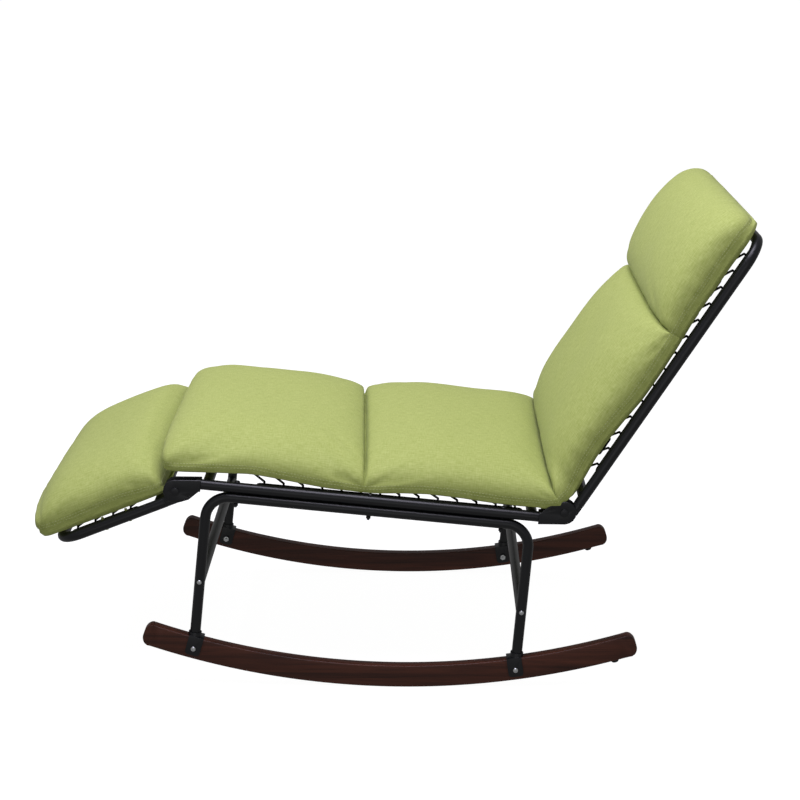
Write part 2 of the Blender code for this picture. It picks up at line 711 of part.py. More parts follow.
def least_gap(path, diameter):
    """Least clear distance between stretches of a cord that aren't next to each other."""
    fine = []
    for a, b in zip(path, path[1:]):
        count = max(2, ceil((b - a).length / (diameter / 2)))
        fine.extend(a + (b - a) * k / count for k in range(count))
    points = np.array([tuple(p) for p in fine])
    run = np.concatenate([[0], np.cumsum(np.linalg.norm(np.diff(points, axis=0), axis=1))])
    apart = np.linalg.norm(points[:, None] - points[None], axis=2)
    apart[np.abs(run[:, None] - run[None]) < 3 * pi * diameter] = np.inf
    return apart.min() - diameter


def build_sling(prefix, parent, lace, turns, tube_z, slant):
    """A flat sling with an eyelet for every strand of the two cords that hold it."""
    low, high = sling_span(lace, slant)
    half = SIDE_Y - SLING_EDGE_IN
    outline = [(low, -half), (high, -half), (high, half), (low, half)]
    holes = []
    for sign in SIDES.values():
        y = sign * (SIDE_Y - EYELET_IN)
        holes.extend(circle((lace[0] + slant + k * LACE_PITCH, -y), EYELET_R, 6) for k in range(turns + 1))
    sling = plate(f"{prefix}_sling", [outline, *holes], SLING_T, parent, BLACK_CANVAS)
    sling.location = (0, 0, tube_z + RAIL_UP)
    sling.rotation_euler = (pi, 0, 0)
    for side, sign in SIDES.items():
        path = lace_path(lace[0], turns, sign, tube_z, slant)
        gap = least_gap(path, CORD_D)
        print(f"{prefix} lacing {side}: {turns + 1} strands, least gap to itself {gap * 1000:.2f} mm")
        round_bar(f"{prefix}_lacing_{side}", path, CORD_D, parent, BLACK_CORD, CORD_SIDES)


# Cushions

def swell(distance):
    """Rise of a stuffed panel away from a seam, from 0 at the seam to 1 at its crown."""
    share = min(max(distance / CROWN_RUN, 0.0), 1.0)
    return (1 - (1 - share) ** 3) ** (1 / 2.2)


def floor_height(x, y, sling, hinge_x):
    """Height of a cushion's underside: on the sling, on bare tubes, or lifted over a hinge."""
    if hinge_x is not None and abs(x - hinge_x) < CHEEK_REACH:
        return CHEEK_LOBE_R + CHEEK_GAP + HINGE_OFFSET
    if abs(y) > CUSHION_REST_HALF:
        return CUSHION_BASE
    if sling is not None and sling[0] < x < sling[1]:
        return RAIL_UP + SLING_T / 2 + FIT
    return TUBE_R + FIT


def build_cushion(name, parent, pockets, tube_z, sling=None, hinge_x=None, across=12, along=6):
    """A stuffed mattress of one or two pockets with a sewn channel between them.

    Each pocket is (start, end, crown, share of the crown left at start, at end).
    The end at hinge_x lifts over the hinge cheeks.
    """
    stations = []
    for start, end, crown, first, last in pockets:
        for k in range(along + 1):
            x = start + (end - start) * (1 - cos(pi * k / along)) / 2
            rise = (first + (1 - first) * swell(abs(x - start)))
            rise *= (last + (1 - last) * swell(abs(x - end)))
            if stations and abs(stations[-1][0] - x) < FIT:
                continue
            stations.append((x, crown, rise))
    bm = bmesh.new()
    rows = len(stations) - 1
    bmesh.ops.create_grid(bm, x_segments=rows, y_segments=across, size=1.0)
    raised = bmesh.ops.extrude_face_region(bm, geom=bm.faces[:])
    top = {v for v in raised["geom"] if isinstance(v, bmesh.types.BMVert)}
    for vert in bm.verts:
        x, crown, rise = stations[round((vert.co.x + 1) / 2 * rows)]
        share = sin(vert.co.y * pi / 2)
        half = CUSHION_W / 2 - SEAM_PULL * (1 - rise)
        height = floor_height(x, share * half, sling, hinge_x)
        if vert in top:
            round_off = max(0.0, 1 - abs(share) ** 4) ** 0.25
            height = max(height, CUSHION_BASE) + CUSHION_EDGE
            height += (crown - CUSHION_BASE - CUSHION_EDGE) * rise * round_off
        vert.co = (x, share * half, tube_z + height)
    bmesh.ops.recalc_face_normals(bm, faces=bm.faces)
    mesh = bpy.data.meshes.new(name)
    bm.to_mesh(mesh)
    bm.free()
    mesh.materials.append(GREEN_CANVAS)
    return add_object(name, mesh, parent)


def mitre(cushion, hinge_x, toward, angle, level):
    """Lean a cushion's end away from the hinge so that it clears its neighbour at the last click."""
    for vert in cushion.data.vertices:
        height = max(vert.co.z - level, 0.0)
        limit = hinge_x - toward * (height * tan(angle) + CREASE_GAP)
        if toward * (vert.co.x - limit) > 0:
            vert.co.x = limit


def build_cushions(seat_sling, back_sling):
    edge = 0.0
    seat = build_cushion("seat_cushion", CHAIR, [
        (SEAT_FRONT_X, SEAT_SEAM_X, SEAT_CROWN, edge, SEAM_SHARE),
        (SEAT_SEAM_X, HINGE_X, SEAT_CROWN, SEAM_SHARE, CREASE_SHARE)], 0, seat_sling, HINGE_X)
    back = build_cushion("back_cushion", BACKREST, [
        (0, BACK_SEAM_S, BACK_CROWN, CREASE_SHARE, SEAM_SHARE),
        (BACK_SEAM_S, BACK_TOP_S, HEAD_CROWN, SEAM_SHARE, edge)], -HINGE_OFFSET, back_sling, 0)
    upright = BACK_ANGLE + CLICK
    mitre(seat, HINGE_X, 1, upright / 2, HINGE_OFFSET)
    mitre(back, 0, -1, upright / 2, 0)
    build_cushion("legrest_cushion", LEGREST, [
        (-LEG_CUSHION_END, -LEG_CUSHION_START, LEG_CROWN, edge, edge)], -HINGE_OFFSET)


# Assembly

def centre_on_origin():
    """Slide the chair along X until the middle of its outline stands over the origin."""
    bpy.context.view_layer.update()
    reach = [(obj.matrix_world @ v.co).x
             for obj in PARTS.objects if obj.type == "MESH" for v in obj.data.vertices]
    CHAIR.location.x -= (min(reach) + max(reach)) / 2
    bpy.context.view_layer.update()


def shade():
    for obj in PARTS.objects:
        if obj.type == "MESH":
            obj.data.shade_smooth()
            obj.data.set_sharp_from_angle(angle=radians(35))


def report_axes():
    """Print where the joints turn, in world metres."""
    for name, frame in (("backrest", BACKREST), ("legrest", LEGREST)):
        print(name, "axis at", [round(c, 5) for c in frame.matrix_world.translation])
    for obj in PARTS.objects:
        if obj.name.endswith("_pawl_axis"):
            print(obj.name, [round(c, 5) for c in obj.matrix_world.translation])


def main():
    build_rockers()
    for side, sign in SIDES.items():
        for end in ("front", "rear"):
            build_bracket(f"foot_bracket_{end}_{side}", end, sign)
            build_rocker_bolt(f"rocker_bolt_{end}_{side}", end, sign)
    build_leg_frames()
    seat_lace = lace_span(SEAT_LACE_START, SEAT_LACE_TURNS)
    back_lace = lace_span(BACK_LACE_START, BACK_LACE_TURNS)
    leg_lace = lace_span(LEG_LACE_FROM_END - LEG_LENGTH, LEG_LACE_TURNS)
    build_seat_frame(seat_lace)
    build_seat_bolts()
    build_swing_frame("backrest_tube", BACKREST, 1, BACK_LENGTH, -HINGE_OFFSET, back_lace)
    build_swing_frame("legrest_tube", LEGREST, -1, LEG_LENGTH, -HINGE_OFFSET, leg_lace)
    build_sling("seat", CHAIR, seat_lace, SEAT_LACE_TURNS, 0, -LACE_SHIFT)
    build_sling("backrest", BACKREST, back_lace, BACK_LACE_TURNS, -HINGE_OFFSET, -LACE_SHIFT)
    build_sling("legrest", LEGREST, leg_lace, LEG_LACE_TURNS, -HINGE_OFFSET, LACE_SHIFT)
    for side in SIDES:
        build_hinge("rear", side, BACKREST)
        build_hinge("front", side, LEGREST)
    build_cushions(sling_span(seat_lace, -LACE_SHIFT), sling_span(back_lace, -LACE_SHIFT))
    centre_on_origin()
    shade()
    report_axes()


main()
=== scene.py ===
# %% [markdown]
# # Rocker recliner
# A lounge chair of bent steel tube on two wooden rockers. Its back and leg frames turn on ratchet
# hinges, elastic cords lace a sling into each frame, and stuffed canvas cushions lie on the slings.
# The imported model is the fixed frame. This script dresses it: smooth tubes, sawn wood, stuffed cloth.

# %% Load the frame
import json
from math import asin, cos, exp, pi, radians, sin, tan

import bmesh
import bpy
import numpy as np
from bmesh.types import BMFace, BMVert
from mathutils import Matrix, Vector, noise
from mathutils.bvhtree import BVHTree

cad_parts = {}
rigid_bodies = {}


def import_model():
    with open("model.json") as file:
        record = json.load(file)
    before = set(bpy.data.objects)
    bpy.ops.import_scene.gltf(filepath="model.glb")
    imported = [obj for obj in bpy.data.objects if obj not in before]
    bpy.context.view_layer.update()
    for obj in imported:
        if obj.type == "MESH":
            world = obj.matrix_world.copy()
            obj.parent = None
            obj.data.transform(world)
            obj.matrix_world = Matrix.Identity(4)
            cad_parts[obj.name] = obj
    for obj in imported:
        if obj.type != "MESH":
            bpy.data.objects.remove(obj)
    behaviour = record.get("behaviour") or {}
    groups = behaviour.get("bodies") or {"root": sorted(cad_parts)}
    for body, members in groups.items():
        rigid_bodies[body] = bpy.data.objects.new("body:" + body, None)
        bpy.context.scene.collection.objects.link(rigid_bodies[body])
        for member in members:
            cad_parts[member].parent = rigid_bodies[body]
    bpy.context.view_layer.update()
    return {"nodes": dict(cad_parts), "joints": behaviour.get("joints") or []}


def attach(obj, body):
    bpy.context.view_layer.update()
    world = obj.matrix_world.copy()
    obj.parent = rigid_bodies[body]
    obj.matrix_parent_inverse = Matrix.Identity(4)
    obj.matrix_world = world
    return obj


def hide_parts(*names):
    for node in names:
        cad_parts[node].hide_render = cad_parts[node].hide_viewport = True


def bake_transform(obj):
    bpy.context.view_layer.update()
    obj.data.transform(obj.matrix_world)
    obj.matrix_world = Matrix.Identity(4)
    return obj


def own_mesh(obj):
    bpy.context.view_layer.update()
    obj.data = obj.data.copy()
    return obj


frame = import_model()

NODES = frame["nodes"]

# %% [markdown]
# ## Where things are
# The chair leans back on its rockers, so everything is measured in the chair's own level frame and
# carried into the world by one matrix. The backrest and the legrest have a frame each, with its
# origin on the hinge axis and X along the tubes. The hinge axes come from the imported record.

# %% Frames of the seat, the backrest and the legrest
REST_TILT = radians(5.5)
BACK_ANGLE = radians(63.0)
LEG_ANGLE = radians(27.0)
HINGE_X = 0.345
HINGE_OFFSET = 0.0145
SIDE_Y = 0.295
TUBE_R = 0.0095
SIDES = {"left": -1, "right": 1}
ENDS = {"front": -1, "rear": 1}

AXES = {joint["name"]: Vector(joint["pos_m"]) for joint in frame["joints"]}
lean = Matrix.Rotation(REST_TILT, 4, "Y")
CHAIR = Matrix.Translation(AXES["backrest_recline"] - lean @ Vector((HINGE_X, 0, HINGE_OFFSET))) @ lean
BACKREST = Matrix.Translation(AXES["backrest_recline"]) @ Matrix.Rotation(REST_TILT - BACK_ANGLE, 4, "Y")
LEGREST = Matrix.Translation(AXES["legrest_tilt"]) @ Matrix.Rotation(REST_TILT - LEG_ANGLE, 4, "Y")
print("seat frame origin", [round(c, 4) for c in CHAIR.translation])

# %% [markdown]
# ## Camera
# The photograph is taken from the sitter's left with a long lens, a little above the seat. The
# place and angles were fitted to bolts, screw heads and rocker tips that the photograph shows.

# %% Camera
LENS_MM = 85.0
CAMERA_AT = (0.0532, -3.4772, 1.4249)
CAMERA_PITCH = radians(15.561)
CAMERA_YAW = radians(0.760)

camera_data = bpy.data.cameras.new("studio_camera")
camera_data.lens = LENS_MM
camera_data.sensor_width = 36.0
camera = bpy.data.objects.new("studio_camera", camera_data)
camera.location = CAMERA_AT
camera.rotation_euler = (pi / 2 - CAMERA_PITCH, 0, CAMERA_YAW)
bpy.context.scene.collection.objects.link(camera)
bpy.context.scene.camera = camera
print("camera at", CAMERA_AT)

# %% [markdown]
# ## Finishes
# Each finish starts from what the real one is. Colours are sRGB hex values, turned to linear by one
# function, and one small function adds a shader node with its settings and links.

# %% Helpers for finishes
def colour(code):
    """Linear RGBA of an sRGB hex colour."""
    parts = [int(code[k:k + 2], 16) / 255 for k in (1, 3, 5)]
    return (*[p / 12.92 if p <= 0.04045 else ((p + 0.055) / 1.055) ** 2.4 for p in parts], 1.0)


def add_node(tree, kind, links=(), **settings):
    """Add a shader node. Settings name its properties or inputs, links are (input, node, output)."""
    made = tree.nodes.new(kind)
    for name, value in settings.items():
        if hasattr(made, name):
            setattr(made, name, value)
        else:
            made.inputs[name.replace("_", " ")].default_value = value
    for socket, source, output in links:
        tree.links.new(source.outputs[output], made.inputs[socket])
    return made


def finish(name, **inputs):
    """A new material, its node tree and its principled shader with the given inputs."""
    material = bpy.data.materials.new(name)
    material.use_nodes = True
    principled = material.node_tree.nodes["Principled BSDF"]
    for key, value in inputs.items():
        principled.inputs[key.replace("_", " ")].default_value = value
    return material, material.node_tree, principled


def ramp(tree, source, output, dark, light, low=0.0, high=1.0):
    """A ramp between two sRGB colours, driven by one output of a node."""
    tone = add_node(tree, "ShaderNodeValToRGB", [("Fac", source, output)])
    for stop, at, code in zip(tone.color_ramp.elements, (low, high), (dark, light)):
        stop.position = at
        stop.color = colour(code)
    return tone


def bump(tree, shader, source, output, strength, distance, invert=False):
    """Let one output of a node raise the surface, by up to a distance in metres."""
    relief = add_node(tree, "ShaderNodeBump", [("Height", source, output)], invert=invert,
                      Strength=strength, Distance=distance)
    tree.links.new(relief.outputs["Normal"], shader.inputs["Normal"])


# %% [markdown]
# Powder coat is a baked plastic skin: black, satin, with a faint orange peel about a millimetre
# across. The peel is bump, and a slow noise varies the roughness a little.

# %% Black powder coat on steel
powder_coat, tree, shader = finish("black_powder_coated_steel", Base_Color=colour("#111215"),
                                   Specular_IOR_Level=0.38)
place = add_node(tree, "ShaderNodeTexCoord")
peel = add_node(tree, "ShaderNodeTexNoise", [("Vector", place, "Object")], Scale=900.0, Detail=2.0)
patches = add_node(tree, "ShaderNodeTexNoise", [("Vector", place, "Object")], Scale=26.0, Detail=3.0)
gloss = add_node(tree, "ShaderNodeMapRange", [("Value", patches, "Fac")], To_Min=0.30, To_Max=0.38)
tree.links.new(gloss.outputs["Result"], shader.inputs["Roughness"])
bump(tree, shader, peel, "Fac", strength=0.10, distance=0.0002)

# %% Bright zinc plate on bolts and nuts
zinc, tree, shader = finish("bright_zinc_plated_steel", Base_Color=colour("#C9CBCC"), Metallic=1.0)
place = add_node(tree, "ShaderNodeTexCoord")
patches = add_node(tree, "ShaderNodeTexNoise", [("Vector", place, "Object")], Scale=420.0, Detail=3.0)
gloss = add_node(tree, "ShaderNodeMapRange", [("Value", patches, "Fac")], To_Min=0.20, To_Max=0.38)
tree.links.new(gloss.outputs["Result"], shader.inputs["Roughness"])

# %% Black rubber
rubber, tree, shader = finish("moulded_black_rubber", Base_Color=colour("#121212"), Roughness=0.75)
place = add_node(tree, "ShaderNodeTexCoord")
grit = add_node(tree, "ShaderNodeTexNoise", [("Vector", place, "Object")], Scale=1400.0, Detail=2.0)
bump(tree, shader, grit, "Fac", strength=0.25, distance=0.0002)

# %% [markdown]
# The rockers are dark stained hardwood under satin lacquer. Grain runs along the rocker, so noise is
# stretched along X: fine pores 1 to 2 mm wide, and broad bands of early and late wood.

# %% Dark walnut
walnut, tree, shader = finish("dark_stained_walnut", Roughness=0.45, Specular_IOR_Level=0.30)
place = add_node(tree, "ShaderNodeTexCoord")
broad = add_node(tree, "ShaderNodeMapping", [("Vector", place, "Object")], Scale=(3.0, 60.0, 60.0))
bands = add_node(tree, "ShaderNodeTexNoise", [("Vector", broad, "Vector")], Scale=1.0, Detail=5.0,
                 Distortion=0.6)
narrow = add_node(tree, "ShaderNodeMapping", [("Vector", place, "Object")], Scale=(14.0, 620.0, 620.0))
pores = add_node(tree, "ShaderNodeTexNoise", [("Vector", narrow, "Vector")], Scale=1.0, Detail=3.0)
tone = ramp(tree, bands, "Fac", "#34180F", "#582D1E", 0.32, 0.70)
dark = add_node(tree, "ShaderNodeMapRange", [("Value", pores, "Fac")], From_Min=0.30, From_Max=0.55,
                To_Min=0.62, To_Max=1.0)
grain = add_node(tree, "ShaderNodeMix", data_type="RGBA", blend_type="MULTIPLY", Factor=1.0)
tree.links.new(tone.outputs["Color"], grain.inputs[6])
tree.links.new(dark.outputs["Result"], grain.inputs[7])
tree.links.new(grain.outputs[2], shader.inputs["Base Color"])
bump(tree, shader, pores, "Fac", strength=0.18, distance=0.0003)

# %% [markdown]
# The cushions are woven canvas of a mottled apple green yarn. Its pattern follows the cloth, so it
# reads the UV map, which is laid out in metres. Slubs are thick places in the yarn: streaks some
# 18 mm long and under 2 mm wide, mostly along the chair. The weave itself is a bump.

# %% Green canvas
THREAD = 0.0016
canvas, tree, shader = finish("apple_green_canvas", Roughness=0.75, Specular_IOR_Level=0.30,
                              Sheen_Weight=0.05, Sheen_Roughness=0.45)
place = add_node(tree, "ShaderNodeTexCoord")
streaks = []
for scale in ((55.0, 560.0, 1.0), (480.0, 70.0, 1.0)):
    turned_place = add_node(tree, "ShaderNodeMapping", [("Vector", place, "UV")], Scale=scale)
    streaks.append(add_node(tree, "ShaderNodeTexNoise", [("Vector", turned_place, "Vector")], Scale=1.0,
                            Detail=4.0, Roughness=0.6))
slubs = add_node(tree, "ShaderNodeMath", [(0, streaks[0], "Fac"), (2, streaks[1], "Fac")],
                 operation="MULTIPLY_ADD")
slubs.inputs[1].default_value = 1.6
spread = add_node(tree, "ShaderNodeMapRange", [("Value", slubs, "Value")], From_Min=0.95, From_Max=1.65)
tone = ramp(tree, spread, "Result", "#95A150", "#B1BB6E")
tree.links.new(tone.outputs["Color"], shader.inputs["Base Color"])
WAVE_PERIOD = 2 * pi / 20
weave = [add_node(tree, "ShaderNodeTexWave", [("Vector", place, "UV")], bands_direction=way,
                  Scale=WAVE_PERIOD / THREAD) for way in ("X", "Y")]
cross = add_node(tree, "ShaderNodeMath", [(0, weave[0], "Fac"), (1, weave[1], "Fac")], operation="MULTIPLY")
bump(tree, shader, cross, "Value", strength=0.35, distance=0.0003)

# %% Sewing thread
thread, tree, shader = finish("pale_green_sewing_thread", Roughness=0.8)
place = add_node(tree, "ShaderNodeTexCoord")
twist = add_node(tree, "ShaderNodeTexNoise", [("Vector", place, "Object")], Scale=700.0)
tone = ramp(tree, twist, "Fac", "#A9B36A", "#D2D8A4")
tree.links.new(tone.outputs["Color"], shader.inputs["Base Color"])

# %% Black sling canvas and elastic cord
SLING_THREAD = 0.0024
sling_cloth, tree, shader = finish("black_sling_canvas", Roughness=0.9, Specular_IOR_Level=0.2)
place = add_node(tree, "ShaderNodeTexCoord")
weave = [add_node(tree, "ShaderNodeTexWave", [("Vector", place, "Object")], bands_direction=way,
                  Scale=WAVE_PERIOD / SLING_THREAD) for way in ("X", "Y")]
cross = add_node(tree, "ShaderNodeMath", [(0, weave[0], "Fac"), (1, weave[1], "Fac")], operation="MULTIPLY")
tone = ramp(tree, cross, "Value", "#0C0C0E", "#2A2A2D")
tree.links.new(tone.outputs["Color"], shader.inputs["Base Color"])
bump(tree, shader, cross, "Value", strength=0.5, distance=0.0004)

elastic, tree, shader = finish("black_elastic_cord", Roughness=0.7, Specular_IOR_Level=0.2)
place = add_node(tree, "ShaderNodeTexCoord")
braid = add_node(tree, "ShaderNodeTexVoronoi", [("Vector", place, "Object")], Scale=900.0)
tone = ramp(tree, braid, "Distance", "#1C1C1E", "#08080A")
tree.links.new(tone.outputs["Color"], shader.inputs["Base Color"])
bump(tree, shader, braid, "Distance", strength=0.4, distance=0.0004, invert=True)
print("finishes:", [m.name for m in (powder_coat, zinc, rubber, walnut, canvas, thread, sling_cloth, elastic)])

# %% [markdown]
# ## Floor and light
# A white sweep, a floor that turns up into a round wall, is lit from behind as a light table is, so that
# it photographs white with hardly a shadow. It throws no light of its own on the chair. Rockers drawn as
# true arcs reach a little below the faceted solids, and the floor lies that much lower. A broad, cool key
# hangs above the chair, a weak panel stands in front, and an even grey surround fills the shade.

# %% Floor
FLOOR_DROP = 0.0008
SWEEP_R = 40.0
paper, tree, shader = finish("lit_white_sweep", Base_Color=colour("#757575"), Roughness=0.95,
                             Specular_IOR_Level=0.0, Emission_Color=(1.0, 1.0, 1.0, 1.0),
                             Emission_Strength=0.97)
bm = bmesh.new()
bmesh.ops.create_circle(bm, cap_ends=True, segments=96, radius=SWEEP_R,
                        matrix=Matrix.Translation((0, 0, -FLOOR_DROP)))
rim = bmesh.ops.extrude_edge_only(bm, edges=bm.edges[:])["geom"]
bmesh.ops.translate(bm, verts=[g for g in rim if isinstance(g, BMVert)], vec=(0, 0, SWEEP_R))
mesh = bpy.data.meshes.new("floor")
bm.to_mesh(mesh)
bm.free()
mesh.materials.append(paper)
floor = bpy.data.objects.new("floor", mesh)
floor.visible_diffuse = floor.visible_glossy = False
bpy.context.scene.collection.objects.link(floor)

# %% Light
world = bpy.data.worlds.new("grey_surround")
world.use_nodes = True
world.node_tree.nodes["Background"].inputs["Color"].default_value = (1.0, 1.0, 1.0, 1.0)
world.node_tree.nodes["Background"].inputs["Strength"].default_value = 0.29
bpy.context.scene.world = world


def add_area(name, at, toward, size, watts, tint=(1.0, 1.0, 1.0)):
    """A rectangular soft light that faces a point."""
    light = bpy.data.lights.new(name, "AREA")
    light.color = tint
    light.shape = "RECTANGLE"
    light.size, light.size_y = size
    light.energy = watts
    lamp = bpy.data.objects.new(name, light)
    lamp.location = at
    lamp.rotation_euler = (Vector(toward) - Vector(at)).to_track_quat("-Z", "Y").to_euler()
    bpy.context.scene.collection.objects.link(lamp)


add_area("key_softbox", (-0.35, -0.35, 2.75), (-0.05, 0.0, 0.4), (2.6, 1.3), 70.0, (1.0, 0.965, 1.16))
add_area("front_fill", (-0.3, -3.3, 0.7), (-0.05, 0.0, 0.4), (3.2, 1.4), 7.0)
bpy.context.scene.view_settings.view_transform = "Standard"
print("floor and light set")

# %% [markdown]
# ## Making pieces
# Every piece is drawn with bmesh operators in the frame it belongs to and carried to its place in its
# mesh, so its object stays at the origin. It then rides on a body and stands for its CAD nodes.

# %% Helpers for pieces
def add_piece(name, bm, material, body=None, nodes=(), sharp=40):
    """Make an object of a finished bmesh, put it on a body and let it stand for CAD nodes."""
    mesh = bpy.data.meshes.new(name)
    bm.to_mesh(mesh)
    bm.free()
    mesh.materials.append(material)
    mesh.shade_smooth()
    mesh.set_sharp_from_angle(angle=radians(sharp))
    piece = bpy.data.objects.new(name, mesh)
    bpy.context.scene.collection.objects.link(piece)
    if body:
        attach(piece, body)
    if nodes:
        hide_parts(*nodes)
    return piece


def loop_of(geom):
    """The vertices that an operator returned, and the edges among them."""
    verts = [g for g in geom if isinstance(g, BMVert)]
    inside = set(verts)
    edges = {e for v in verts for e in v.link_edges if all(w in inside for w in e.verts)}
    return verts, list(edges)


def bent_tube(bm, corners, radius, bend_r=0.0, sides=28, bend_steps=10):
    """A tube through the corners: a circle, extruded along each run and spun round each bend."""
    corners = [Vector(c) for c in corners]
    way = (corners[1] - corners[0]).normalized()
    stand = Matrix.Translation(corners[0]) @ way.to_track_quat("Z", "Y").to_matrix().to_4x4()
    verts, edges = loop_of(bmesh.ops.create_circle(bm, segments=sides, radius=radius, matrix=stand)["verts"])
    bmesh.ops.contextual_create(bm, geom=edges)
    at = corners[0]
    for k, corner in enumerate(corners[1:], 1):
        bend = None
        stop = corner
        if k < len(corners) - 1:
            ahead = (corners[k + 1] - corner).normalized()
            bend = way.angle(ahead)
            stop = corner - way * bend_r * tan(bend / 2)
        verts, edges = loop_of(bmesh.ops.extrude_edge_only(bm, edges=edges)["geom"])
        bmesh.ops.translate(bm, verts=verts, vec=stop - at)
        at = stop
        if bend:
            inward = (ahead - way * ahead.dot(way)).normalized()
            spun = bmesh.ops.spin(bm, geom=verts + edges, cent=stop + inward * bend_r, dvec=(0, 0, 0),
                                  axis=way.cross(ahead), angle=bend, steps=bend_steps, use_duplicate=False)
            verts, edges = loop_of(spun["geom_last"])
            at = corner + ahead * bend_r * tan(bend / 2)
            way = ahead
    bmesh.ops.contextual_create(bm, geom=edges)


def turn_profile(bm, profile, place, steps=28):
    """A turned piece: a profile of (radius, height) spun round its own Z axis and then placed."""
    before = set(bm.verts)
    points = [bm.verts.new((r, 0, z)) for r, z in profile]
    edges = [bm.edges.new(pair) for pair in zip(points, points[1:])]
    bmesh.ops.spin(bm, geom=points + edges, cent=(0, 0, 0), axis=(0, 0, 1), dvec=(0, 0, 0),
                   angle=2 * pi, steps=steps, use_merge=True)
    made = [v for v in bm.verts if v not in before]
    bmesh.ops.remove_doubles(bm, verts=made, dist=1e-6)
    made = [v for v in bm.verts if v not in before]
    bmesh.ops.transform(bm, matrix=place, verts=made)


def close(bm, place=None):
    """Face everything outward, and carry the mesh to its place."""
    bmesh.ops.recalc_face_normals(bm, faces=bm.faces)
    if place is not None:
        bmesh.ops.transform(bm, matrix=place, verts=bm.verts)
    return bm


def ease(bm, edges, width, segments, clamp=False):
    """Round edges of a mesh."""
    bmesh.ops.bevel(bm, geom=list(edges), offset=width, segments=segments, profile=0.5, affect="EDGES",
                    clamp_overlap=clamp, material=-1)


def eased_copy(node, width, segments=2):
    """A CAD solid's own mesh with its faces made whole and its sharp edges rounded."""
    bm = bmesh.new()
    bm.from_mesh(NODES[node].data)
    bmesh.ops.remove_doubles(bm, verts=bm.verts, dist=1e-5)
    bmesh.ops.dissolve_limit(bm, angle_limit=radians(1), verts=bm.verts, edges=bm.edges)
    edges = [e for e in bm.edges if len(e.link_faces) == 2 and e.calc_face_angle() > radians(30)]
    ease(bm, edges, width, segments, clamp=True)
    return close(bm)


# %% [markdown]
# ## Rockers
# A rocker is sawn from a board along an arc and rounded at both ends. One rectangle is spun about the
# rocker's centre, the corners of its two ends are bevelled to a round nose, and all arrises are eased.

# %% Rockers
ROCKER_R = 1.400
ROCKER_H = 0.041
ROCKER_T = 0.021
ROCKER_CENTRE = Vector((-0.0411, 0, 1.0467))
ROCKER_FRONT = radians(14.4)
ROCKER_REAR = radians(23.25)
NOSE_R = 0.0175
ARRIS_R = 0.0022

for side, sign in SIDES.items():
    bm = bmesh.new()
    square = Matrix.Diagonal((ROCKER_T, ROCKER_H, 1.0, 1.0))
    bmesh.ops.create_grid(bm, x_segments=1, y_segments=1, size=0.5, matrix=square)
    stand = Matrix.Rotation(pi / 2, 4, "Z") @ Matrix.Rotation(pi / 2, 4, "X")
    bmesh.ops.transform(bm, matrix=stand, verts=bm.verts)
    bmesh.ops.translate(bm, verts=bm.verts, vec=(0, 0, ROCKER_H / 2 - ROCKER_R))
    bmesh.ops.rotate(bm, verts=bm.verts, cent=(0, 0, 0), matrix=Matrix.Rotation(ROCKER_FRONT, 3, "Y"))
    bmesh.ops.spin(bm, geom=bm.verts[:] + bm.edges[:] + bm.faces[:], cent=(0, 0, 0), axis=(0, -1, 0),
                   dvec=(0, 0, 0), angle=ROCKER_FRONT + ROCKER_REAR, steps=72)
    close(bm)
    noses = [e for e in bm.edges if e.calc_face_angle(0) > radians(60)
             and abs(e.verts[0].co.y - e.verts[1].co.y) > ROCKER_T / 2]
    ease(bm, noses, NOSE_R, 8)
    arrises = [e for e in bm.edges if e.calc_face_angle(0) > radians(60)]
    ease(bm, arrises, ARRIS_R, 3)
    place = CHAIR @ Matrix.Translation(ROCKER_CENTRE + Vector((0, sign * SIDE_Y, 0)))
    rocker = add_piece(f"rocker_{side}_sawn", close(bm, place), walnut, "base", [f"rocker_{side}"])
    print(rocker.name, len(rocker.data.polygons), "faces")

# %% [markdown]
# ## Frame tubes
# Each tube starts as one circle. It is extruded along every straight run and spun round every bend,
# as a tube bender would shape it. Wire rails for the lacing are welded along the inner sides.

# %% Leg frames and stretchers
LEG_SPAN = 0.577
LEG_SPLAY = radians(0.8)
LEG_BEND_R = 0.042
LEG_TOP_Z = -0.0193
STRETCHER_DROP = 0.182


def foot_bolt(sign):
    """Where a leg's axis crosses the middle of the rocker, in the chair's frame."""
    radius = ROCKER_R - ROCKER_H / 2
    drop = 0.3
    for _ in range(20):
        x = sign * (LEG_SPAN / 2 + (drop + LEG_TOP_Z) * tan(LEG_SPLAY))
        drop = radius * cos(asin((x - ROCKER_CENTRE.x) / radius)) - ROCKER_CENTRE.z
    return Vector((x, 0, -drop))


def add_tube(name, corners, node, bend_r=0.0):
    """One piece of frame tube on the base."""
    bm = bmesh.new()
    bent_tube(bm, corners, TUBE_R, bend_r)
    add_piece(name, close(bm, CHAIR), powder_coat, "base", [node])


LEG_START = 0.026
WELD = 0.001
feet = {end: foot_bolt(sign) for end, sign in ENDS.items()}
tops = {end: Vector((sign * LEG_SPAN / 2, 0, LEG_TOP_Z)) for end, sign in ENDS.items()}
ankles = {end: feet[end] + (tops[end] - feet[end]).normalized() * LEG_START for end in ENDS}
for side, sign in SIDES.items():
    shift = Vector((0, sign * SIDE_Y, 0))
    corners = [p + shift for p in (ankles["front"], tops["front"], tops["rear"], ankles["rear"])]
    add_tube(f"leg_frame_{side}_tube", corners, f"leg_frame_{side}", LEG_BEND_R)
stretcher_x = LEG_SPAN / 2 + (STRETCHER_DROP + LEG_TOP_Z) * tan(LEG_SPLAY)
reach = SIDE_Y - TUBE_R + WELD
for end, sign in ENDS.items():
    corners = [(sign * stretcher_x, y, -STRETCHER_DROP) for y in (-reach, reach)]
    add_tube(f"stretcher_{end}_tube", corners, f"stretcher_{end}")
print("feet at", [round(c, 4) for c in feet["front"]], [round(c, 4) for c in feet["rear"]])

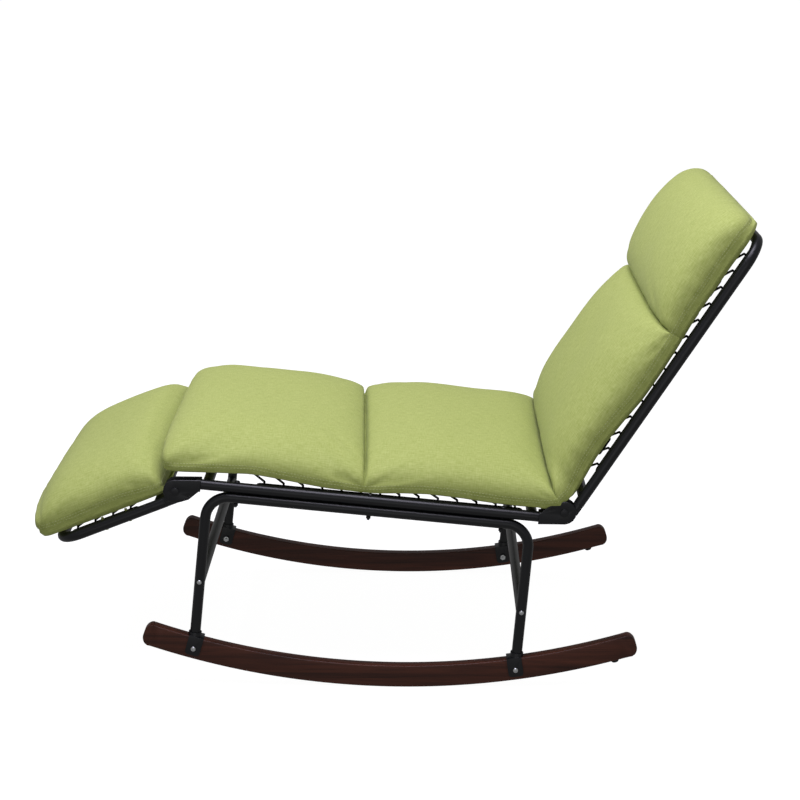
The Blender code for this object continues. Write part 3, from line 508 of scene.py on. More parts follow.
# %% Seat tubes, cross tubes and their rails
RAIL_R = 0.0025
RAIL_IN = 0.017
RAIL_UP = 0.005
RAIL_PAST_LACE = 0.012
SEAT_TUBE_END = 0.309
CROSS_TUBE_X = 0.290
LACE_PITCH = 0.0345
LACE_SHIFT = 0.031
LACES = {"seat": (-0.190, 13, -LACE_SHIFT), "backrest": (0.102, 13, -LACE_SHIFT),
         "legrest": (-0.1955, 3, LACE_SHIFT)}


def add_rails(bm, sign, lace, level):
    """A wire along the inner side of a tube, its ends bent back into the tube."""
    low, high = lace[0] - RAIL_PAST_LACE, lace[0] + lace[1] * LACE_PITCH + RAIL_PAST_LACE
    out, inside = sign * SIDE_Y, sign * (SIDE_Y - RAIL_IN)
    bent_tube(bm, [(low, out, level), (low, inside, level + RAIL_UP),
                   (high, inside, level + RAIL_UP), (high, out, level)], RAIL_R, 2 * RAIL_R, 12, 5)


for side, sign in SIDES.items():
    bm = bmesh.new()
    bent_tube(bm, [(-SEAT_TUBE_END, sign * SIDE_Y, 0), (SEAT_TUBE_END, sign * SIDE_Y, 0)], TUBE_R)
    add_rails(bm, sign, LACES["seat"], 0)
    add_piece(f"seat_tube_{side}_tube", close(bm, CHAIR), powder_coat, "base",
              [f"seat_tube_{side}"])
for end, sign in ENDS.items():
    corners = [(sign * CROSS_TUBE_X, y, 0) for y in (-reach, reach)]
    add_tube(f"seat_cross_{end}_tube", corners, f"seat_cross_tube_{end}")

# %% Backrest and legrest tubes
CORNER_R = 0.045
ARM_END = 0.026
BACK_LENGTH = 0.581
LEG_LENGTH = 0.2345
SWING_CROSS_S = 0.040
level = -HINGE_OFFSET
for name, place, way, length in (("backrest", BACKREST, 1, BACK_LENGTH), ("legrest", LEGREST, -1, LEG_LENGTH)):
    bm = bmesh.new()
    bent_tube(bm, [(way * ARM_END, -SIDE_Y, level), (way * length, -SIDE_Y, level),
                   (way * length, SIDE_Y, level), (way * ARM_END, SIDE_Y, level)], TUBE_R, CORNER_R)
    bent_tube(bm, [(way * SWING_CROSS_S, -reach, level), (way * SWING_CROSS_S, reach, level)], TUBE_R)
    for sign in SIDES.values():
        add_rails(bm, sign, LACES[name], level)
    add_piece(f"{name}_bent_tube", close(bm, place), powder_coat, name, [f"{name}_tube"])

# %% [markdown]
# ## Hinges, brackets and stops
# These CAD solids have the right shape already. Each gets a copy of its mesh with the pressed edges
# rounded, so that a thin highlight runs along them.

# %% Pressed and moulded pieces
EDGE_R = 0.0005
STOP_EDGE_R = 0.0012
for end in ENDS:
    for side in SIDES:
        for part, body in (("outer_cheek", "base"), ("inner_cheek", "base"),
                           ("gear_arm", "backrest" if end == "rear" else "legrest")):
            node = f"hinge_{end}_{side}_{part}"
            add_piece(f"{node}_pressed", eased_copy(node, EDGE_R), powder_coat, body, [node])
        node = f"foot_bracket_{end}_{side}"
        add_piece(f"{node}_welded", eased_copy(node, EDGE_R), powder_coat, "base", [node])
        NODES[f"hinge_{end}_{side}_pawl"].material_slots[0].material = powder_coat
for side in SIDES:
    node = f"rocker_stop_{side}"
    add_piece(f"{node}_moulded", eased_copy(node, STOP_EDGE_R, 3), rubber, "base", [node])

# %% [markdown]
# Bolts, pins and screws are turned, from a profile of radius and height. A dome head on a rocker or a
# stretcher has a round socket, and a nut is a bevelled hexagon.

# %% Bolts, pins and screws
def dome(radius, height, base, steps=6):
    """Profile of a domed head from the middle of its top down to its rim."""
    rise = height * 0.72
    turns = [pi / 2 * (1 - k / steps) for k in range(steps + 1)]
    return [(radius * cos(t), base + height - rise + rise * sin(t)) for t in turns] + [(radius, base)]


def socket_head(size, socket, base):
    """Profile of a domed head whose top is opened by a round socket."""
    return [(r, base + z) for r, z in socket] + dome(*size, base)[3:]


def add_nut(bm, radius, height, place):
    """A hexagon nut with its corners eased, on the place's Z axis."""
    made = bmesh.ops.create_cone(bm, cap_ends=True, segments=6, radius1=radius, radius2=radius,
                                 depth=height, matrix=place)["verts"]
    ease(bm, {e for v in made for e in v.link_edges}, radius * 0.12, 2)


BOLT_GRIP = 0.0136
BOLT_R = 0.003
BOLT_END = -BOLT_GRIP - 0.0078
BOLT_HEAD, BOLT_NUT = (0.00475, 0.0035), (0.0060, 0.005)
BOLT_SOCKET = [(0.0, 0.0012), (0.0017, 0.0012), (0.0019, 0.0033)]
for end in ENDS:
    for side, sign in SIDES.items():
        place = (CHAIR @ Matrix.Translation(feet[end] + Vector((0, sign * SIDE_Y, 0)))
                 @ Matrix.Rotation(-sign * pi / 2, 4, "X"))
        bm = bmesh.new()
        shank = [(BOLT_R, BOLT_GRIP), (BOLT_R, BOLT_END + 0.0008), (BOLT_R - 0.001, BOLT_END), (0, BOLT_END)]
        turn_profile(bm, socket_head(BOLT_HEAD, BOLT_SOCKET, BOLT_GRIP) + shank, place)
        add_nut(bm, *BOLT_NUT, place @ Matrix.Translation((0, 0, -BOLT_GRIP - BOLT_NUT[1] / 2)))
        node = f"rocker_bolt_{end}_{side}"
        add_piece(f"{node}_zinc", close(bm), zinc, "base", [node], 35)

SEAT_BOLT_X = 0.237
SEAT_BOLT_TOP = TUBE_R + 0.0003
SEAT_BOLT_FOOT = LEG_TOP_Z - TUBE_R - 0.0003
SEAT_BOLT_END = SEAT_BOLT_FOOT - 0.0075
SEAT_BOLT_R = 0.0025
SEAT_HEAD, SEAT_NUT = (0.005, 0.0035), (0.0047, 0.0045)
for where, x in (("front", -SEAT_BOLT_X), ("middle", 0), ("rear", SEAT_BOLT_X)):
    for side, sign in SIDES.items():
        place = CHAIR @ Matrix.Translation((x, sign * SIDE_Y, 0))
        bm = bmesh.new()
        shank = [(SEAT_BOLT_R, SEAT_BOLT_TOP), (SEAT_BOLT_R, SEAT_BOLT_END + 0.0006),
                 (SEAT_BOLT_R - 0.0006, SEAT_BOLT_END), (0, SEAT_BOLT_END)]
        turn_profile(bm, dome(*SEAT_HEAD, SEAT_BOLT_TOP) + shank, place)
        add_nut(bm, *SEAT_NUT, place @ Matrix.Translation((0, 0, SEAT_BOLT_FOOT - SEAT_NUT[1] / 2)))
        node = f"seat_bolt_{where}_{side}"
        add_piece(f"{node}_blackened", close(bm), powder_coat, "base", [node], 35)

PIN_GRIP = 0.0126
PIN_R = 0.004
PIN_HEAD, SCREW_HEAD = (0.0075, 0.002), (0.0043, 0.0030)
SCREW_SOCKET = [(0, 0.0014), (0.0015, 0.0014), (0.0017, 0.0026)]
SCREW_SUNK = 0.0008
for end, sign_x in ENDS.items():
    for side, sign in SIDES.items():
        axis = Vector((sign_x * HINGE_X, sign * SIDE_Y, sign_x * HINGE_OFFSET))
        place = CHAIR @ Matrix.Translation(axis) @ Matrix.Rotation(pi / 2, 4, "X")
        head = dome(*PIN_HEAD, PIN_GRIP)
        tail = [(r, -z) for r, z in reversed(head)]
        bm = bmesh.new()
        turn_profile(bm, head + [(PIN_R, PIN_GRIP), (PIN_R, -PIN_GRIP)] + tail, place)
        node = f"hinge_{end}_{side}_pin"
        add_piece(f"{node}_riveted", close(bm), powder_coat, "base", [node])
        place = (CHAIR @ Matrix.Translation((sign_x * stretcher_x, sign * (SIDE_Y + TUBE_R - SCREW_SUNK),
                                             -STRETCHER_DROP)) @ Matrix.Rotation(-sign * pi / 2, 4, "X"))
        bm = bmesh.new()
        turn_profile(bm, socket_head(SCREW_HEAD, SCREW_SOCKET, 0) + [(0, 0)], place)
        add_piece(f"stretcher_screw_{end}_{side}", close(bm), zinc, "base")
fasteners = [o.name for o in bpy.data.objects
             if o.name.endswith(("_zinc", "_blackened", "_riveted")) or o.name.startswith("stretcher_screw")]
print("bolts, pins and screws:", len(fasteners))

# %% [markdown]
# ## Slings and lacing
# A sling is a flat sheet of black canvas with a row of eyelets along both sides. Its grid has a small
# cell round every eyelet, which is inset, rounded and cut out. An elastic cord winds round the wire
# rail and through the eyelets in slanting strands, and draws the edge in a little between its ends.

# %% Slings
SLING_HALF = 0.223
SLING_HEM = 0.010
EYELET_Y = 0.216
EYELET_R = 0.0036
CELL = 0.007
DRAWN_IN = 0.0022
SLING_T = 0.0014
PLAIN_HALF = 0.18
RING_W, RING_H = 0.0014, 0.0012
BODY_OF = {"seat": "base", "backrest": "backrest", "legrest": "legrest"}
PLACE_OF = {"seat": (CHAIR, 0.0), "backrest": (BACKREST, -HINGE_OFFSET), "legrest": (LEGREST, -HINGE_OFFSET)}


def eyelet_xs(lace):
    """Where the strands of a lacing meet the sling."""
    start, turns, slant = lace
    return [start + slant + k * LACE_PITCH for k in range(turns + 1)]


for name, lace in LACES.items():
    place, level = PLACE_OF[name]
    holes = eyelet_xs(lace)
    xs = [holes[0] - SLING_HEM, *[x + d for x in holes for d in (-CELL, CELL)], holes[-1] + SLING_HEM]
    ys = [-SLING_HALF, -EYELET_Y + CELL, *np.linspace(-PLAIN_HALF, PLAIN_HALF, 9), EYELET_Y - CELL, SLING_HALF]
    bm = bmesh.new()
    bmesh.ops.create_grid(bm, x_segments=len(xs) - 1, y_segments=len(ys) - 1, size=1.0)
    for vert in bm.verts:
        column = round((vert.co.x + 1) / 2 * (len(xs) - 1))
        row = round((vert.co.y + 1) / 2 * (len(ys) - 1))
        vert.co = (xs[column], ys[row], 0)
    hole_y = (SLING_HALF + EYELET_Y - CELL) / 2
    middles = {f: f.calc_center_median() for f in bm.faces}
    cells = [f for f, at in middles.items()
             if abs(abs(at.y) - hole_y) < 1e-4 and min(abs(at.x - x) for x in holes) < 1e-4]
    bmesh.ops.inset_individual(bm, faces=cells, thickness=CELL * 0.4)
    rims = list({e for f in cells for e in f.edges})
    bmesh.ops.subdivide_edges(bm, edges=rims, cuts=3)
    for cell in cells:
        middle = cell.calc_center_median()
        for vert in cell.verts:
            vert.co = middle + (vert.co - middle).normalized() * EYELET_R
    bmesh.ops.delete(bm, geom=cells, context="FACES")
    for vert in bm.verts:
        if abs(abs(vert.co.y) - SLING_HALF) < 1e-6 and holes[0] < vert.co.x < holes[-1]:
            vert.co.y -= DRAWN_IN * (1 if vert.co.y > 0 else -1)
    bmesh.ops.transform(bm, matrix=place @ Matrix.Translation((0, 0, level + RAIL_UP)), verts=bm.verts)
    sling = add_piece(f"{name}_sling_cloth", bm, sling_cloth, BODY_OF[name], [f"{name}_sling"])
    cloth = sling.modifiers.new("thickness", "SOLIDIFY")
    cloth.thickness = SLING_T
    cloth.offset = 0.0
    rings = bmesh.new()
    for x in holes:
        for sign in SIDES.values():
            turn_profile(rings, [(EYELET_R + RING_W * (1 + cos(t)), RING_H * sin(t))
                                 for t in np.linspace(-pi, pi, 9)],
                         place @ Matrix.Translation((x, sign * hole_y, level + RAIL_UP)), 12)
    eyelets = add_piece(f"{name}_sling_eyelets", close(rings), powder_coat, BODY_OF[name])
    print(sling.name, "flat", round(2 * SLING_HALF, 3), "x", round(xs[-1] - xs[0], 3))

# %% Lacing
CORD_R = 0.0021
CORD_GAP = 0.0003
CORD_BEND = 0.0024
OFF_CLOTH = 0.001
wrap = (RAIL_R + CORD_R + CORD_GAP) / cos(pi / 8)
lift = OFF_CLOTH + CORD_R + CORD_GAP
OVER_RAIL = [(RAIL_IN + wrap * cos(t), wrap * sin(t)) for t in (pi / 2, pi * 3 / 4, pi)]
for name, (start, turns, slant) in LACES.items():
    place, level = PLACE_OF[name]
    for side, sign in SIDES.items():
        route = []
        for k in range(turns + 1):
            x = start + k * LACE_PITCH
            strand = [(x + slant, SIDE_Y - EYELET_Y, -lift), (x + slant, SIDE_Y - EYELET_Y, lift)]
            strand += [(x, inset, z) for inset, z in OVER_RAIL]
            route += strand if k % 2 == 0 else strand[::-1]
        route = [Vector((x, sign * (SIDE_Y - inset), level + RAIL_UP + z)) for x, inset, z in route]
        length = sum((b - a).length for a, b in zip(route, route[1:]))
        bm = bmesh.new()
        bent_tube(bm, route, CORD_R, CORD_BEND, 10, 3)
        add_piece(f"{name}_cord_{side}", close(bm, place), elastic, BODY_OF[name],
                  [f"{name}_lacing_{side}"])
        print(f"{name}_cord_{side}", turns + 1, "strands", round(length, 2), "m")

# %% [markdown]
# ## Cushions
# A cushion is a bag: a top sheet and a flat underside, joined round the edge by a narrow border strip,
# with channels sewn through. The bag starts from a grid extruded twice. Stuffing then blows the
# cloth out between its seams in a short cloth simulation.

# %% The shape of a stuffed bag
CUSHION_HALF = 0.300
CUSHION_REST_HALF = 0.160
TUCK = 0.010
SEAM_PULL = 0.008
SEAM_GROOVE = 0.0012
CHANNEL_PULL = 0.45
SLIT = 0.0005
LIP_OUT = 0.014
BORDER_BULGE = 0.0025
SLING_TOP = 0.0064
COLUMNS = 64
ROUND = 3.6
EVEN_SHARE = 0.35
MEAN_RISE = 0.05
END_SHARE = 1 / 8
ON_SEAM = 1e-6
SLACK = 0.97


def swell(distance, run):
    """Rise of a stuffed panel away from a seam, from 0 at the seam to 1 at its crown."""
    share = min(max(distance / run, 0.0), 1.0)
    return (1 - (1 - share) ** 3) ** (1 / 2.2)


def stations_of(pockets, rows):
    """Rows along a bag, closer near seams: (place, crown, rise, distance to the nearest seam).

    A pocket is (start, end, crown, rise at start, rise at end, run of the swelling from each).
    """
    stations = []
    for start, end, crown, first, last, run_first, run_last in pockets:
        shares = [EVEN_SHARE * k / rows + (1 - EVEN_SHARE) * (1 - cos(pi * k / rows)) / 2
                  for k in range(rows + 1)]
        tight = SLIT / abs(end - start)
        for share in sorted([*shares, tight, 1 - tight]):
            s = start + (end - start) * share
            rise = first + (1 - first) * swell(abs(s - start), run_first)
            rise *= last + (1 - last) * swell(abs(s - end), run_last)
            if not (stations and abs(stations[-1][0] - s) < ON_SEAM):
                stations.append((s, crown, rise, min(abs(s - start), abs(s - end))))
    return stations


def columns_across(height):
    """Places across the bag from -1 to 1, and the cloth's run to each, closer near the edges."""
    y = np.linspace(0, 1, 600)
    z = np.maximum(0, 1 - y ** ROUND) ** (1 / ROUND) * height / CUSHION_HALF
    run = np.concatenate([[0], np.cumsum(np.hypot(np.diff(y), np.diff(z)))])
    steps = run[-1] * (1 - (1 - np.linspace(0, 1, COLUMNS // 2 + 1)) ** 1.5)
    half = np.interp(steps, run, y)
    return (np.concatenate([-half[:0:-1], half]),
            CUSHION_HALF * np.concatenate([-steps[:0:-1], steps]))


def corner_cut(s, ends):
    """How far a rounded corner draws the side in, near the ends of a bag: (place, radius) pairs."""
    cut = 0.0
    for at, radius in ends:
        short = max(0.0, radius - abs(s - at))
        cut = max(cut, radius - (radius * radius - short * short) ** 0.5)
    return cut


def sew_bag(stations, edge, border, under, to_world, ends, bulges, lip=lambda s: 0.0):
    """A bag in world space, with the vertices of its parts.

    Ends are rounded corners, bulges how far the first and the last end swell past their seam. A lip is
    where the edge is squeezed out over a hinge, from 0 to 1.
    """
    shares, across = columns_across(MEAN_RISE)
    rows = len(stations) - 1
    bm = bmesh.new()
    uv = bm.loops.layers.uv.new("cloth")
    bmesh.ops.create_grid(bm, x_segments=rows, y_segments=COLUMNS, size=1.0)
    sheet = bm.faces[:]
    for _ in range(2):
        raised = bmesh.ops.extrude_face_region(bm, geom=sheet)["geom"]
        bmesh.ops.translate(bm, verts=[g for g in raised if isinstance(g, BMVert)], vec=(0, 0, 1))
        sheet = [g for g in raised if isinstance(g, BMFace)]
    run = np.concatenate([[0], np.cumsum([abs(b[0] - a[0]) + MEAN_RISE * abs(b[2] - a[2])
                                          for a, b in zip(stations, stations[1:])])])
    grid = {v: (round((v.co.x + 1) / 2 * rows), round((v.co.y + 1) / 2 * COLUMNS), round(v.co.z))
            for v in bm.verts}
    for face in bm.faces:
        wall = len({grid[v][2] for v in face.verts}) > 1
        for loop in face.loops:
            row, column, level = grid[loop.vert]
            past = border(stations[row][0]) * (1 - level / 2) if wall else 0.0
            loop[uv].uv = (run[row] + (past if row == rows else -past if row == 0 else 0),
                           across[column] + past * ((column == COLUMNS) - (column == 0)))
    bag = {"rows": rows, "cloth": {}, "grid": {}}
    rim, strip = [], []
    for vert, (row, column, level) in grid.items():
        s, crown, rise, seam = stations[row]
        share = shares[column]
        hang = lip(s)
        half = CUSHION_HALF - SEAM_PULL * (1 - rise) - corner_cut(s, ends) + LIP_OUT * hang
        low = edge(s)
        high = low + border(s)
        y = share * half
        tuck = TUCK * (1 - level / 2)
        if level == 2:
            lift = max(0.0, 1 - abs(share) ** ROUND) ** (1 / ROUND)
            if seam < ON_SEAM:
                rise *= CHANNEL_PULL
            height = high + (crown - high) * rise * lift * SLACK
            swollen = 4 * rise * (1 - rise) * lift
            s -= bulges[0] * swollen if row < rows * END_SHARE else 0.0
            s += bulges[1] * swollen if row > rows * (1 - END_SHARE) else 0.0
            if column in (0, COLUMNS) or row in (0, rows):
                rim.append(vert)
            bag["grid"][row, column] = vert
            bag["cloth"][vert] = (s, y, seam, CUSHION_HALF * (1 - abs(share)))
        else:
            y -= tuck * share
            s += tuck * ((row == 0) - (row == rows))
            height = low + border(s) / 2 * (1 - hang) if level else under(s, y, low)
            strip += [vert] * level
        vert.co = to_world(s, y, height)
    close(bm)
    bm.normal_update()
    for vert in strip:
        vert.co += vert.normal * BORDER_BULGE
    for vert in rim:
        vert.co -= vert.normal * SEAM_GROOVE
    bm.verts.index_update()
    free = {v for v, at in bag["cloth"].items() if at[2] > ON_SEAM} - set(rim)
    bag["held"] = [v.index for v in bm.verts if v not in free]
    bag["cloth"] = {v.index: at for v, at in bag["cloth"].items()}
    bag["grid"] = {at: v.index for at, v in bag["grid"].items()}
    return bm, bag


# %% Stuffing
SWELL_CAP = 0.024
SWELL_SHARE = 0.35
STUFF_FRAMES = 20
PUCKER = 0.0016
SEAM_RIPPLE, SEAM_REACH = 0.016, 0.030
EDGE_RIPPLE, EDGE_REACH = 0.020, 0.022
RIPPLE_RUN = 0.07
DENT, DENT_REACH, DENT_SHARE = 0.11, 0.03, 1.3


def stuff(cushion, held):
    """Blow the cloth out between its seams, and cap how far any point moves."""
    start = np.array([v.co for v in cushion.data.vertices])
    sewn = cushion.vertex_groups.new(name="sewn")
    sewn.add(held, 1.0, "REPLACE")
    cloth = cushion.modifiers.new("stuffing", "CLOTH")
    cloth.settings.quality = 6
    cloth.settings.mass = 0.004
    cloth.settings.tension_stiffness = cloth.settings.compression_stiffness = 12.0
    cloth.settings.shear_stiffness = 6.0
    cloth.settings.bending_stiffness = 0.4
    cloth.settings.vertex_group_mass = "sewn"
    cloth.settings.use_pressure = True
    cloth.settings.uniform_pressure_force = 4.0
    cloth.settings.effector_weights.gravity = 0.0
    cloth.collision_settings.use_collision = False
    for step in range(STUFF_FRAMES):
        bpy.context.scene.frame_set(step + 1)
    stuffed = cushion.evaluated_get(bpy.context.evaluated_depsgraph_get()).to_mesh()
    moves = np.array([v.co for v in stuffed.vertices]) - start
    reach = np.linalg.norm(moves, axis=1)
    moves *= SWELL_SHARE * np.minimum(1.0, SWELL_CAP / np.maximum(reach, 1e-9))[:, None]
    cushion.modifiers.remove(cloth)
    cushion.vertex_groups.clear()
    bpy.context.scene.frame_set(1)
    cushion.data.vertices.foreach_set("co", (start + moves).ravel())
    print(cushion.name, "swelled by up to", round(1000 * reach.max(), 1), "mm, on average",
          round(1000 * reach.mean(), 1))


def pucker(cushion, cloth):
    """Gather the cloth along channels and edges into small ripples, and leave soft dents between."""
    normals = [v.normal.copy() for v in cushion.data.vertices]
    for index, (s, y, seam, rim) in cloth.items():
        ripple = noise.noise(Vector((y / SEAM_RIPPLE, s / RIPPLE_RUN, 1.3))) * exp(-seam / SEAM_REACH)
        ripple += noise.noise(Vector((s / EDGE_RIPPLE, y / RIPPLE_RUN, 7.1))) * exp(-rim / EDGE_REACH)
        dent = noise.noise(Vector((s / DENT, y / DENT, 4.7)))
        ripple += DENT_SHARE * dent * min(1.0, min(seam, rim) / DENT_REACH)
        cushion.data.vertices[index].co += normals[index] * PUCKER * ripple


# %% [markdown]
# The seat and back cushions are one long mattress of four pockets. Its lower edge lifts from the tubes
# in the middle of a pocket and comes down at the seams, as the photograph shows. At the hinge the two
# middle pockets lean away from each other, so that they meet in a crease on the bisecting plane.

# %% Mattress
SEAT_FRONT_X, SEAT_SEAM_X = -0.370, -0.022
SEAM_SLANT = 0.032
BACK_SEAM_S, BACK_TOP_S = 0.370, 0.606
SEAT_CROWN, BACK_CROWN, HEAD_CROWN = 0.089, 0.100, 0.110
CREASE_RUN = 0.16
EDGE_S = np.array([-0.370, -0.340, -0.300, -0.215, -0.165, -0.130, -0.085, -0.040, 0.0, 0.050, 0.100,
                   0.160, 0.220, 0.270, 0.310, 0.330, 0.345, 0.357, 0.371, 0.390, 0.420, 0.450, 0.490,
                   0.545, 0.588, 0.645, 0.705, 0.765, 0.865, 0.925, 0.952])
EDGE_H = np.array([0.0160, 0.0175, 0.0205, 0.0260, 0.0215, 0.0176, 0.0130, 0.0118, 0.0118, 0.0170, 0.0200,
                   0.0185, 0.0148, 0.0142, 0.0175, 0.0215, 0.0255, 0.0235, 0.0175, 0.0155, 0.0175, 0.0205,
                   0.0215, 0.0170, 0.0122, 0.0120, 0.0140, 0.0185, 0.0190, 0.0170, 0.0160])
CASING_S = np.array([-0.050, -0.032, -0.012, 0.0, 0.012, 0.0215, 0.027])
CASING_H = np.array([0.012, 0.024, 0.0355, 0.0372, 0.0345, 0.024, 0.012])
BORDER_S = np.array([-0.37, -0.07, -0.022, 0.025, 0.28, 0.345, 0.42, 0.715, 0.920, 0.951])
BORDER_H = np.array([0.010, 0.009, 0.006, 0.009, 0.010, 0.009, 0.017, 0.018, 0.020, 0.011])
CASING_Y = 0.26
CORD_Y, CORD_TOP = [0.19, 0.208, 0.270, 0.284], [SLING_TOP, 0.0103, 0.0121, 0.0105]
TUBE_TOP = 0.0105
SEAT_SLING_START, BACK_SLING_END = -0.235, HINGE_X + 0.465
EDGE_RUN, SLANT_RUN = 0.125, 0.12
HINGE_RUN, HINGE_HOLD = 0.045, 1.6
LIP_RUN_SEAT, LIP_RUN_BACK = 0.045, 0.028


def cord_top(y):
    """Least height of an underside over the sling and the cords that lace it."""
    return float(np.interp(abs(y), CORD_Y, CORD_TOP))


def mattress_edge(s):
    """Height of the lower edge."""
    return float(np.interp(s, EDGE_S, EDGE_H))


def mattress_border(s):
    """Width of the border strip."""
    return float(np.interp(s, BORDER_S, BORDER_H))


def rise_to_edge(y):
    """From 0 where the cushion rests on its sling to 1 at its edge."""
    out = min(max((abs(y) - CUSHION_REST_HALF) / EDGE_RUN, 0.0), 1.0)
    return out * out * (3 - 2 * out)


def mattress_under(s, y, low):
    """The underside lies on the sling in the middle and rises to the edge and over the hinges."""
    hinge = min(max(HINGE_HOLD - abs(s - HINGE_X) / HINGE_RUN, 0.0), 1.0)
    casing = float(np.interp(s - HINGE_X, CASING_S, CASING_H)) if abs(y) > CASING_Y else 0.0
    rest = SLING_TOP if SEAT_SLING_START <= s <= BACK_SLING_END else TUBE_TOP
    return max(rest + (low - rest) * max(rise_to_edge(y), hinge), cord_top(y), casing)


def mattress_lip(s):
    """How far the fold squeezes the edge out over the hinge casing, from 0 to 1."""
    run = LIP_RUN_SEAT if s < HINGE_X else LIP_RUN_BACK
    return exp(-((s - HINGE_X) / run) ** 2)


def mattress_point(s, y, height):
    """A point of the mattress in world space, with the slanting seat seam and the crease."""
    s -= SEAM_SLANT * y * exp(-((s - SEAT_SEAM_X) / SLANT_RUN) ** 2)
    past = s - HINGE_X
    near = max(0.0, 1 - abs(past) / CREASE_RUN) ** 2
    lean_away = tan(BACK_ANGLE / 2) * max(height - HINGE_OFFSET, 0.0) * near
    if past <= 0:
        return CHAIR @ Vector((s - lean_away, y, height))
    return BACKREST @ Vector((past + lean_away, y, height - HINGE_OFFSET))


mattress_rows = stations_of([
    (SEAT_FRONT_X, SEAT_SEAM_X, SEAT_CROWN, 0.0, 0.62, 0.075, 0.12),
    (SEAT_SEAM_X, HINGE_X, SEAT_CROWN + 0.002, 0.62, 0.55, 0.15, 0.12),
    (HINGE_X, HINGE_X + BACK_SEAM_S, BACK_CROWN, 0.55, 0.45, 0.20, 0.18),
    (HINGE_X + BACK_SEAM_S, HINGE_X + BACK_TOP_S, HEAD_CROWN, 0.36, 0.0, 0.17, 0.17)], 38)
mattress_ends = [(SEAT_FRONT_X, 0.014), (HINGE_X + BACK_TOP_S, 0.046)]
bm, mattress_bag = sew_bag(mattress_rows, mattress_edge, mattress_border, mattress_under, mattress_point,
                           mattress_ends, (0.018, 0.010), mattress_lip)
mattress = add_piece("seat_and_back_mattress", bm, canvas, None, ["seat_cushion", "back_cushion"],
                     180)
print("mattress:", len(mattress.data.vertices), "vertices,", len(mattress_bag["held"]), "held")

# %% Legrest cushion
LEG_START_S, LEG_END_S = 0.021, 0.266
LEG_CROWN = 0.103
LEG_EDGE_S = np.array([-0.257, -0.223, -0.149, -0.023])
LEG_EDGE_H = np.array([0.0145, 0.0150, 0.0145, 0.0150])
LEG_BORDER_S = np.array([-0.21, -0.10, -0.023])
LEG_BORDER_H = np.array([0.016, 0.022, 0.013])
LEG_SLING = (-0.17, -0.055)


def legrest_under(s, y, low):
    """The underside lies on the sling in the middle and rises to the edge."""
    rest = SLING_TOP if LEG_SLING[0] < s < LEG_SLING[1] else TUBE_TOP
    return max(rest + (low - rest) * rise_to_edge(y), cord_top(y))


legrest_rows = stations_of([(-LEG_END_S, -LEG_START_S, LEG_CROWN, 0.0, 0.0, 0.115, 0.055)], 44)
bm, legrest_bag = sew_bag(
    legrest_rows, lambda s: float(np.interp(s, LEG_EDGE_S, LEG_EDGE_H)),
    lambda s: float(np.interp(s, LEG_BORDER_S, LEG_BORDER_H)), legrest_under,
    lambda s, y, h: LEGREST @ Vector((s, y, h - HINGE_OFFSET)),
    [(-LEG_END_S, 0.026), (-LEG_START_S, 0.012)], (0.009, 0.003))
legrest_cushion = add_piece("legrest_stuffed", bm, canvas, "legrest", ["legrest_cushion"], 180)

# %% [markdown]
# The mattress crosses the recline hinge. Both cushions are stuffed, puckered and smoothed.

for cushion, bag in ((mattress, mattress_bag), (legrest_cushion, legrest_bag)):
    stuff(cushion, bag["held"])
    pucker(cushion, bag["cloth"])
    smooth = cushion.modifiers.new("smooth", "SUBSURF")
    smooth.levels = smooth.render_levels = 1
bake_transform(mattress)
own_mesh(legrest_cushion)

# %% [markdown]
# Two rows of pale topstitch run along every edge seam, a few millimetres above it. Stitches are laid on
# the stuffed cloth itself: each is a small bead stretched along the row. They are drawn a little
# thicker than the real thread, which would vanish at the photograph's size.

# %% Topstitching
STITCH = 0.0042
STITCH_PITCH = 0.0058
THREAD_D = 0.0011
ROWS_UP = (0.0025, 0.0075)


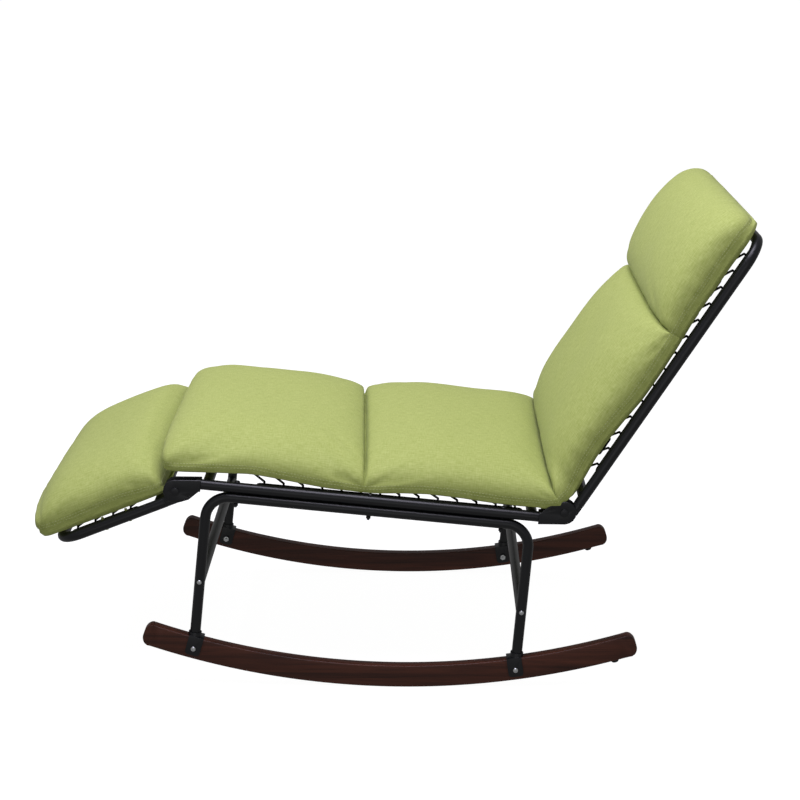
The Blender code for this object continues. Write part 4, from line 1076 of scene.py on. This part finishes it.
def stitch_row(bm, line, skin):
    """Stitches at an even pitch along a line of points, laid on the cloth."""
    points = [skin.find_nearest(p)[:2] for p in line]
    run = np.concatenate([[0], np.cumsum([(b[0] - a[0]).length for a, b in zip(points, points[1:])])])
    for at in np.arange(STITCH_PITCH, run[-1] - STITCH_PITCH, STITCH_PITCH):
        k = int(np.searchsorted(run, at)) - 1
        (here, normal), (there, _) = points[k], points[k + 1]
        along = (there - here).normalized()
        middle = here + (there - here) * ((at - run[k]) / (run[k + 1] - run[k])) + normal * THREAD_D * 0.25
        out = (normal - along * normal.dot(along)).normalized()
        turn = Matrix((along, out.cross(along), out)).transposed().to_4x4()
        size = Matrix.Diagonal((STITCH, THREAD_D, THREAD_D * 0.8, 1.0))
        bmesh.ops.create_icosphere(bm, subdivisions=1, radius=0.5,
                                   matrix=Matrix.Translation(middle) @ turn @ size)


def topstitch(name, cushion, bag, body):
    """Two rows round the seam of a bag, above its near side, its far side and both its ends."""
    skin = BVHTree.FromObject(cushion, bpy.context.evaluated_depsgraph_get())
    verts, cloth, rows = cushion.data.vertices, bag["grid"], bag["rows"]
    sides = [[((r, c), (r, c + d)) for r in range(1, rows)] for c, d in ((0, 3), (COLUMNS, -3))]
    sides += [[((r, c), (r + d, c)) for c in range(1, COLUMNS)] for r, d in ((0, 2), (rows, -2))]
    bm = bmesh.new()
    for side in sides:
        for up in ROWS_UP:
            line = [verts[cloth[a]].co + (verts[cloth[b]].co - verts[cloth[a]].co).normalized() * up
                    for a, b in side]
            stitch_row(bm, line, skin)
    return add_piece(name, bm, thread, body)


for name, cushion, bag in (("mattress_topstitch", mattress, mattress_bag),
                           ("legrest_topstitch", legrest_cushion, legrest_bag)):
    stitches = topstitch(name, cushion, bag, None if cushion is mattress else "legrest")
    if cushion is mattress:
        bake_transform(stitches)
    else:
        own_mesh(stitches)
    print(name, len(stitches.data.polygons) // 20, "stitches")

# %% [markdown]
# Two narrow cloth ties on each side hold the legrest cushion to its tube. Each comes down behind the tube,
# and its end shows below.

# %% Ties
TIE_S = (-0.1465, -0.1008)
TIE_SIZE = (0.005, 0.0012, 0.026)
TIE_EDGE_R = 0.0004
TIE_BEHIND, TIE_DROP = 0.001, 0.0005
for k, s in enumerate(TIE_S):
    bm = bmesh.new()
    for sign in SIDES.values():
        place = Matrix.Translation((s, sign * (SIDE_Y - TUBE_R - TIE_BEHIND), -HINGE_OFFSET - TIE_DROP))
        strap = bmesh.ops.create_cube(bm, size=1.0, matrix=place @ Matrix.Diagonal((*TIE_SIZE, 1.0)))["verts"]
        ease(bm, {e for v in strap for e in v.link_edges}, TIE_EDGE_R, 2)
    add_piece(f"legrest_tie_{k + 1}", close(bm, LEGREST), canvas, "legrest")
